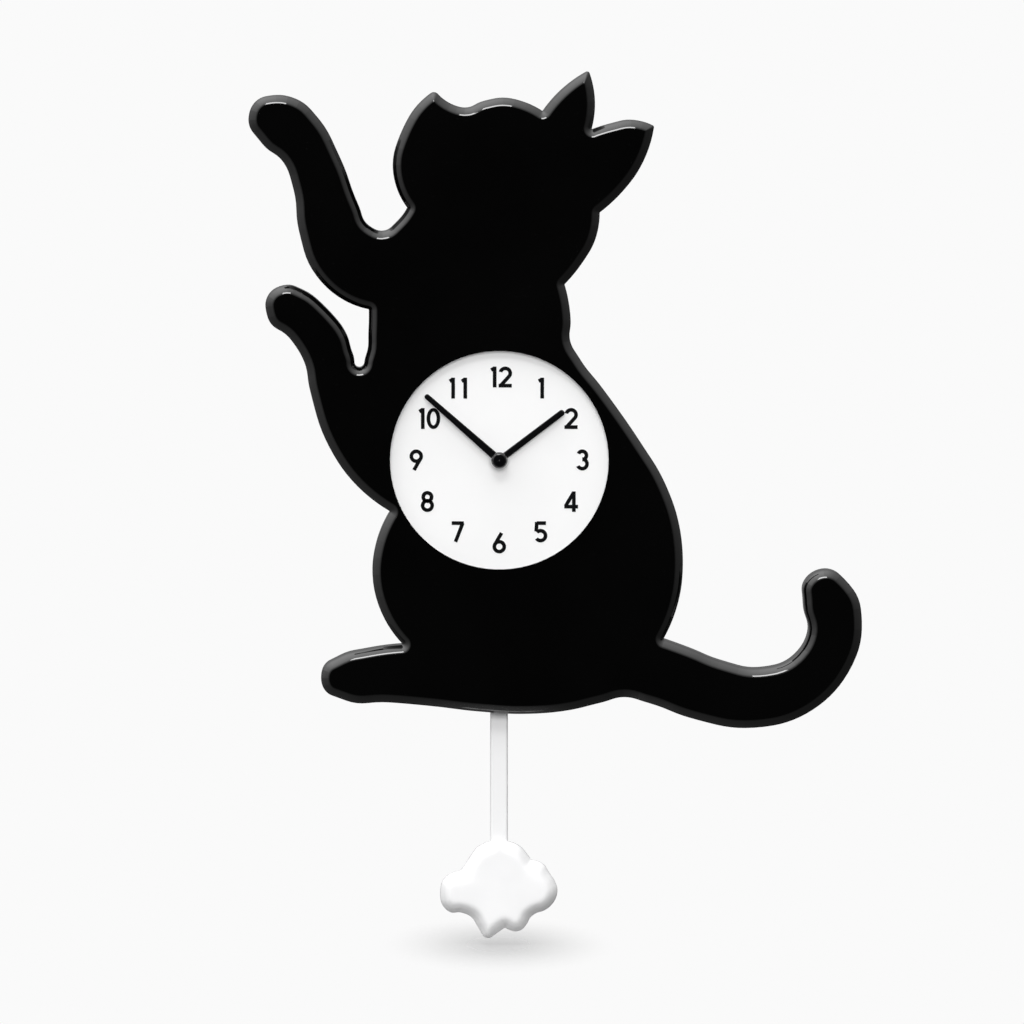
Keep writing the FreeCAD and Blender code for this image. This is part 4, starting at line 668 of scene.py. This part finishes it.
def turns_tree():
    """Turns of wire on a coil: a spiral, given a round section, turned and moved to its place."""
    tree = bpy.data.node_groups.new("Coil Turns", "GeometryNodeTree")
    tree.interface.new_socket("Geometry", in_out="OUTPUT", socket_type="NodeSocketGeometry")
    kinds = {"Radius": "Float", "Length": "Float", "Wire Radius": "Float", "Turns": "Float", "Steps": "Int",
             "Place": "Vector", "Turn": "Rotation", "Material": "Material"}
    for label, kind in kinds.items():
        tree.interface.new_socket(label, in_out="INPUT", socket_type="NodeSocket" + kind)
    start = tree.nodes.new("NodeGroupInput").outputs
    spiral = wired(tree, "GeometryNodeCurveSpiral", {
        "Resolution": start["Steps"], "Rotations": start["Turns"], "Start Radius": start["Radius"],
        "End Radius": start["Radius"], "Height": start["Length"],
    })
    section = wired(tree, "GeometryNodeCurvePrimitiveCircle", {
        "Resolution": WIRE_SIDES, "Radius": start["Wire Radius"],
    })
    wire = wired(tree, "GeometryNodeCurveToMesh", {
        "Curve": spiral.outputs[0], "Profile Curve": section.outputs[0], "Fill Caps": True,
    })
    moved = wired(tree, "GeometryNodeTransform", {
        "Geometry": wire.outputs[0], "Translation": start["Place"], "Rotation": start["Turn"],
    })
    real = wired(tree, "GeometryNodeRealizeInstances", {"Geometry": moved.outputs[0]})
    dressed = wired(tree, "GeometryNodeSetMaterial", {
        "Geometry": real.outputs[0], "Material": start["Material"],
    })
    end = tree.nodes.new("NodeGroupOutput")
    tree.links.new(dressed.outputs[0], end.inputs[0])
    return tree


def wound(node, name, look, material, upright):
    """The turns of wire that show on a winding."""
    low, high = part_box(node)
    middle = (low + high) / 2
    size = high - low
    length = (size.z if upright else size.y) - 2 * look.wire
    place = middle - Vector((0, 0, length / 2)) if upright else middle - Vector((0, length / 2, 0))
    turn = (0, 0, 0) if upright else (-math.pi / 2, 0, 0)
    answers = {"Radius": size.x / 2 - look.wire / 2, "Length": length, "Wire Radius": look.wire,
               "Turns": length / (2 * look.wire), "Steps": look.steps, "Place": place, "Turn": turn,
               "Material": material}
    piece = bpy.data.objects.new(name, bpy.data.meshes.new(name))
    bpy.context.scene.collection.objects.link(piece)
    return answered(piece, bpy.data.node_groups.get("Coil Turns") or turns_tree(), answers, material)


# Stage


def aimed(item, place, target):
    """Put a lamp or camera at its place and aim it."""
    item.location = place
    item.rotation_euler = (Vector(target) - Vector(place)).to_track_quat("-Z", "Y").to_euler()
    bpy.context.scene.collection.objects.link(item)
    return item


def soft_lamp(name, target, power):
    """One of the lamps, aimed at the middle of the view."""
    place, width, height, mirrored = LAMPS[name]
    lamp = bpy.data.lights.new(name + "_lamp", "AREA")
    lamp.shape = "RECTANGLE"
    lamp.size = width
    lamp.size_y = height
    lamp.energy = power
    item = aimed(bpy.data.objects.new(name + "_lamp", lamp), target + place, target)
    item.visible_glossy = mirrored


def studio_world(look):
    """White backdrop for the camera; around the clock a pale room, dark only behind the camera.

    The room gets brighter upwards and to the left, and a little darker behind the clock.
    """
    world = bpy.data.worlds.new("studio")
    bpy.context.scene.world = world
    world.use_nodes = True
    tree = world.node_tree
    tree.nodes.clear()
    direction = tree.nodes.new("ShaderNodeTexCoord").outputs["Generated"]
    way = wired(tree, "ShaderNodeSeparateXYZ", {"Vector": direction})
    rise = wired(tree, "ShaderNodeMapRange", {"Value": way.outputs["Z"], "From Min": -1.0, "From Max": 1.0})
    curve = wired(tree, "ShaderNodeMath", {0: rise.outputs[0], 1: ROOM_RISE}, operation="POWER")
    height = wired(tree, "ShaderNodeMapRange", {
        "Value": curve.outputs[0], "To Min": ROOM_BOTTOM, "To Max": ROOM_TOP,
    })
    opened = spread(tree, way.outputs["Y"], low=-0.93, high=-0.55, start=0.01, end=1.0)
    behind = spread(tree, way.outputs["Y"], low=0.15, high=0.7, start=1.0, end=0.5)
    front = wired(tree, "ShaderNodeMath", {0: height.outputs[0], 1: opened}, operation="MULTIPLY")
    side = spread(tree, way.outputs["X"], low=-0.8, high=0.8, start=1.5, end=0.55)
    depth = wired(tree, "ShaderNodeMath", {0: front.outputs[0], 1: behind}, operation="MULTIPLY")
    level = wired(tree, "ShaderNodeMath", {0: depth.outputs[0], 1: side}, operation="MULTIPLY")
    room = wired(tree, "ShaderNodeBackground", {"Color": (1, 1, 1, 1), "Strength": level.outputs[0]})
    white = wired(tree, "ShaderNodeBackground", {"Color": (1, 1, 1, 1), "Strength": look.backdrop})
    seen = tree.nodes.new("ShaderNodeLightPath").outputs["Is Camera Ray"]
    mix = wired(tree, "ShaderNodeMixShader", {0: seen, 1: room.outputs[0], 2: white.outputs[0]})
    end = tree.nodes.new("ShaderNodeOutputWorld")
    tree.links.new(mix.outputs[0], end.inputs["Surface"])


def floor_with_painted_shadow(look, centre):
    """Floor that fades out into the backdrop and can't be seen from below; its grey patch under the bob is a
    painted shadow added to the real shadows that fall there.
    """
    material = bpy.data.materials.new("studio_floor")
    material.use_nodes = True
    tree = material.node_tree
    shader = tree.nodes["Principled BSDF"]
    shader.inputs["Base Color"].default_value = (*look.floor_shadow_grey, 1.0)
    shader.inputs["Roughness"].default_value = 0.9
    shader.inputs["Specular IOR Level"].default_value = 0.0
    place = tree.nodes.new("ShaderNodeTexCoord").outputs["Object"]
    offset = wired(tree, "ShaderNodeVectorMath", {0: place, 1: centre}, operation="SUBTRACT")
    drawn_in = wired(tree, "ShaderNodeVectorMath", {0: offset.outputs[0], 1: (1, 1 / look.floor_depth, 1)},
                     operation="MULTIPLY")
    away = wired(tree, "ShaderNodeVectorMath", {0: drawn_in.outputs[0]}, operation="LENGTH")
    # painted shadow: the grey floor hides the white backdrop most at the middle under the bob and fades out
    # towards the floor's edges
    cover = spread(tree, away.outputs["Value"], low=0.0, high=look.floor_reach, start=look.floor_shadow_cover,
                   end=0.0)
    below = tree.nodes.new("ShaderNodeNewGeometry").outputs["Backfacing"]
    front = wired(tree, "ShaderNodeMath", {0: 1.0, 1: below}, operation="SUBTRACT")
    alpha = wired(tree, "ShaderNodeMath", {0: cover, 1: front.outputs[0]}, operation="MULTIPLY")
    tree.links.new(alpha.outputs[0], shader.inputs["Alpha"])
    return material


def studio_floor(look):
    low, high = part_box("pendulum_bob")
    middle = (low + high) / 2
    level = low.z - look.floor_gap
    reach = look.floor_reach
    depth = reach * look.floor_depth
    mesh = bpy.data.meshes.new("studio_floor")
    corners = [(middle.x + x, middle.y + y, level) for x, y in
               ((-reach, -depth), (reach, -depth), (reach, depth), (-reach, depth))]
    mesh.from_pydata(corners, [], [(0, 1, 2, 3)])
    mesh.materials.append(floor_with_painted_shadow(look, (middle.x, middle.y, level)))
    floor = bpy.data.objects.new("studio_floor", mesh)
    bpy.context.scene.collection.objects.link(floor)


def photo_camera(look):
    """The camera, aimed at the point in the middle of the photograph."""
    shaft = (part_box("hand_cap")[0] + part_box("hand_cap")[1]) / 2
    middle = FRAME_PIXELS / 2
    target = Vector((
        shaft.x + (middle - SHAFT_PIXEL_X) * PIXEL_SIZE,
        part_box("cat_shell")[0].y,
        shaft.z - (middle - SHAFT_PIXEL_Y) * PIXEL_SIZE,
    ))
    turn = Matrix.Rotation(look.azimuth, 3, "Z") @ Matrix.Rotation(-look.elevation, 3, "X")
    place = target + turn @ Vector((0, -look.distance, 0))
    camera = bpy.data.cameras.new("photo_camera")
    camera.lens = camera.sensor_width * look.distance / (FRAME_PIXELS * PIXEL_SIZE)
    camera.clip_start = look.distance / 100
    bpy.context.scene.camera = aimed(bpy.data.objects.new("photo_camera", camera), place, target)
    return target


# Steps


class CATCLOCK_OT_case(bpy.types.Operator):
    """Finish the case, its back cover, the screws and the hanger"""
    bl_idname = "cat_clock.case"
    bl_label = "Case and Back"

    def execute(self, context):
        look = context.scene.cat_clock_case
        dress(case_polish(look), "cat_shell")
        dress(cover_moulding(look), "back_cover", "setting_knob")
        dress(zinc_plate(look), "back_cover_screws", "hanger_plate", "hanger_screws", "dial_screws",
              "movement_screws", "pendulum_pivot")
        return {"FINISHED"}


class CATCLOCK_OT_dial(bpy.types.Operator):
    """Finish the dial and its numerals"""
    bl_idname = "cat_clock.dial"
    bl_label = "Dial and Numerals"

    def execute(self, context):
        look = context.scene.cat_clock_dial
        dress(dial_paint(look), "dial_plate")
        dress(numeral_ink(look), "dial_numerals")
        return {"FINISHED"}


class CATCLOCK_OT_hands(bpy.types.Operator):
    """Round the edges of both hands and finish them and the hub cap"""
    bl_idname = "cat_clock.hands"
    bl_label = "Hands and Cap"

    def execute(self, context):
        look = context.scene.cat_clock_dial
        lacquer = hand_lacquer(look)
        for node, body in (("hour_hand", HOUR_BODY), ("minute_hand", MINUTE_BODY)):
            hand = rounded(node, node + "_rounded", look.hand_edge, lacquer)
            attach(hand, body)
            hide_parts(node)
        cap = shaded_smooth(welded_copy("hand_cap", "hand_cap_domed"), cap_polish(look))
        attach(cap, MINUTE_BODY)
        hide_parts("hand_cap")
        return {"FINISHED"}


class CATCLOCK_OT_pendulum(bpy.types.Operator):
    """Make the puffed bob and finish the rod"""
    bl_idname = "cat_clock.pendulum"
    bl_label = "Pendulum"

    def execute(self, context):
        look = context.scene.cat_clock_pendulum
        polish = pendulum_polish(look)
        dress(polish, "pendulum_rod")
        piece = puffed("pendulum_bob", "pendulum_bob_puffed", look, polish)
        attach(piece, PENDULUM_BODY)
        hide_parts("pendulum_bob")
        return {"FINISHED"}


class CATCLOCK_OT_movement(bpy.types.Operator):
    """Finish the movement's housing, wheels, circuit and battery"""
    bl_idname = "cat_clock.movement"
    bl_label = "Movement"

    def execute(self, context):
        look = context.scene.cat_clock_movement
        dress(housing_moulding(look), "movement_case", "movement_cover")
        dress(natural_moulding(look), "gear_bridge", "coil_bobbin", "pendulum_coil_bobbin", "pendulum_lever")
        dress(pale_wheel(look), "seconds_wheel", "centre_wheel", "rotor_pinion", "minute_work_wheel",
              "setting_arbor")
        dress(amber_wheel(look), "third_wheel", "intermediate_wheel", "hour_wheel")
        dress(turned_brass(), "minute_arbor")
        dress(rolled_steel(), "stator", "coil_core")
        dress(sintered_magnet(), "rotor_magnet", "pendulum_magnet")
        dress(nickel_can(), "quartz_crystal")
        dress(nickel_strip(), "battery_contact_positive", "battery_contact_negative")
        dress(potted_resin(), "timing_chip")
        dress(solder_mask(), "circuit_board")
        dress(battery_sleeve(), "battery")
        return {"FINISHED"}


class CATCLOCK_OT_coils(bpy.types.Operator):
    """Lay the turns of copper wire on both windings"""
    bl_idname = "cat_clock.coils"
    bl_label = "Coils"

    def execute(self, context):
        look = context.scene.cat_clock_movement
        copper = enamelled_copper(look)
        for node, upright in (("coil_winding", True), ("pendulum_coil_winding", False)):
            dress(copper, node)
            piece = wound(node, node + "_turns", look, copper, upright)
            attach(piece, CLOCK_BODY)
        return {"FINISHED"}


class CATCLOCK_OT_stage(bpy.types.Operator):
    """Set up the camera, the lamps, the backdrop and the floor"""
    bl_idname = "cat_clock.stage"
    bl_label = "Stage"

    def execute(self, context):
        look = context.scene.cat_clock_stage
        context.scene.view_settings.view_transform = "Standard"
        target = photo_camera(look)
        studio_world(look)
        studio_floor(look)
        for name in LAMPS:
            soft_lamp(name, target, getattr(look, name + "_power"))
        return {"FINISHED"}


class CATCLOCK_PT_panel(bpy.types.Panel):
    """Lists the steps that dress the clock and their settings"""
    bl_idname = "CATCLOCK_PT_panel"
    bl_label = "Cat Clock"
    bl_space_type = "VIEW_3D"
    bl_region_type = "UI"
    bl_category = "Cat Clock"

    def draw(self, context):
        for operator in OPERATORS:
            self.layout.operator(operator.bl_idname)
        for name in SETS:
            box = self.layout.box()
            settings = getattr(context.scene, name)
            for key in settings.bl_rna.properties.keys():
                if key not in ("rna_type", "name"):
                    box.prop(settings, key)


GROUPS = (CatClockCase, CatClockDial, CatClockPendulum, CatClockMovement, CatClockStage)
OPERATORS = (CATCLOCK_OT_case, CATCLOCK_OT_dial, CATCLOCK_OT_hands, CATCLOCK_OT_pendulum,
             CATCLOCK_OT_movement, CATCLOCK_OT_coils, CATCLOCK_OT_stage)


def register():
    for kind in (*GROUPS, *OPERATORS, CATCLOCK_PT_panel):
        bpy.utils.register_class(kind)
    for name, kind in zip(SETS, GROUPS):
        setattr(bpy.types.Scene, name, PointerProperty(type=kind))


def unregister():
    for name in SETS:
        delattr(bpy.types.Scene, name)
    for kind in reversed((*GROUPS, *OPERATORS, CATCLOCK_PT_panel)):
        bpy.utils.unregister_class(kind)


def main():
    register()
    bpy.ops.cat_clock.case()
    bpy.ops.cat_clock.dial()
    bpy.ops.cat_clock.hands()
    bpy.ops.cat_clock.pendulum()
    bpy.ops.cat_clock.movement()
    bpy.ops.cat_clock.coils()
    bpy.ops.cat_clock.stage()


if __name__ == "__main__":
    main()
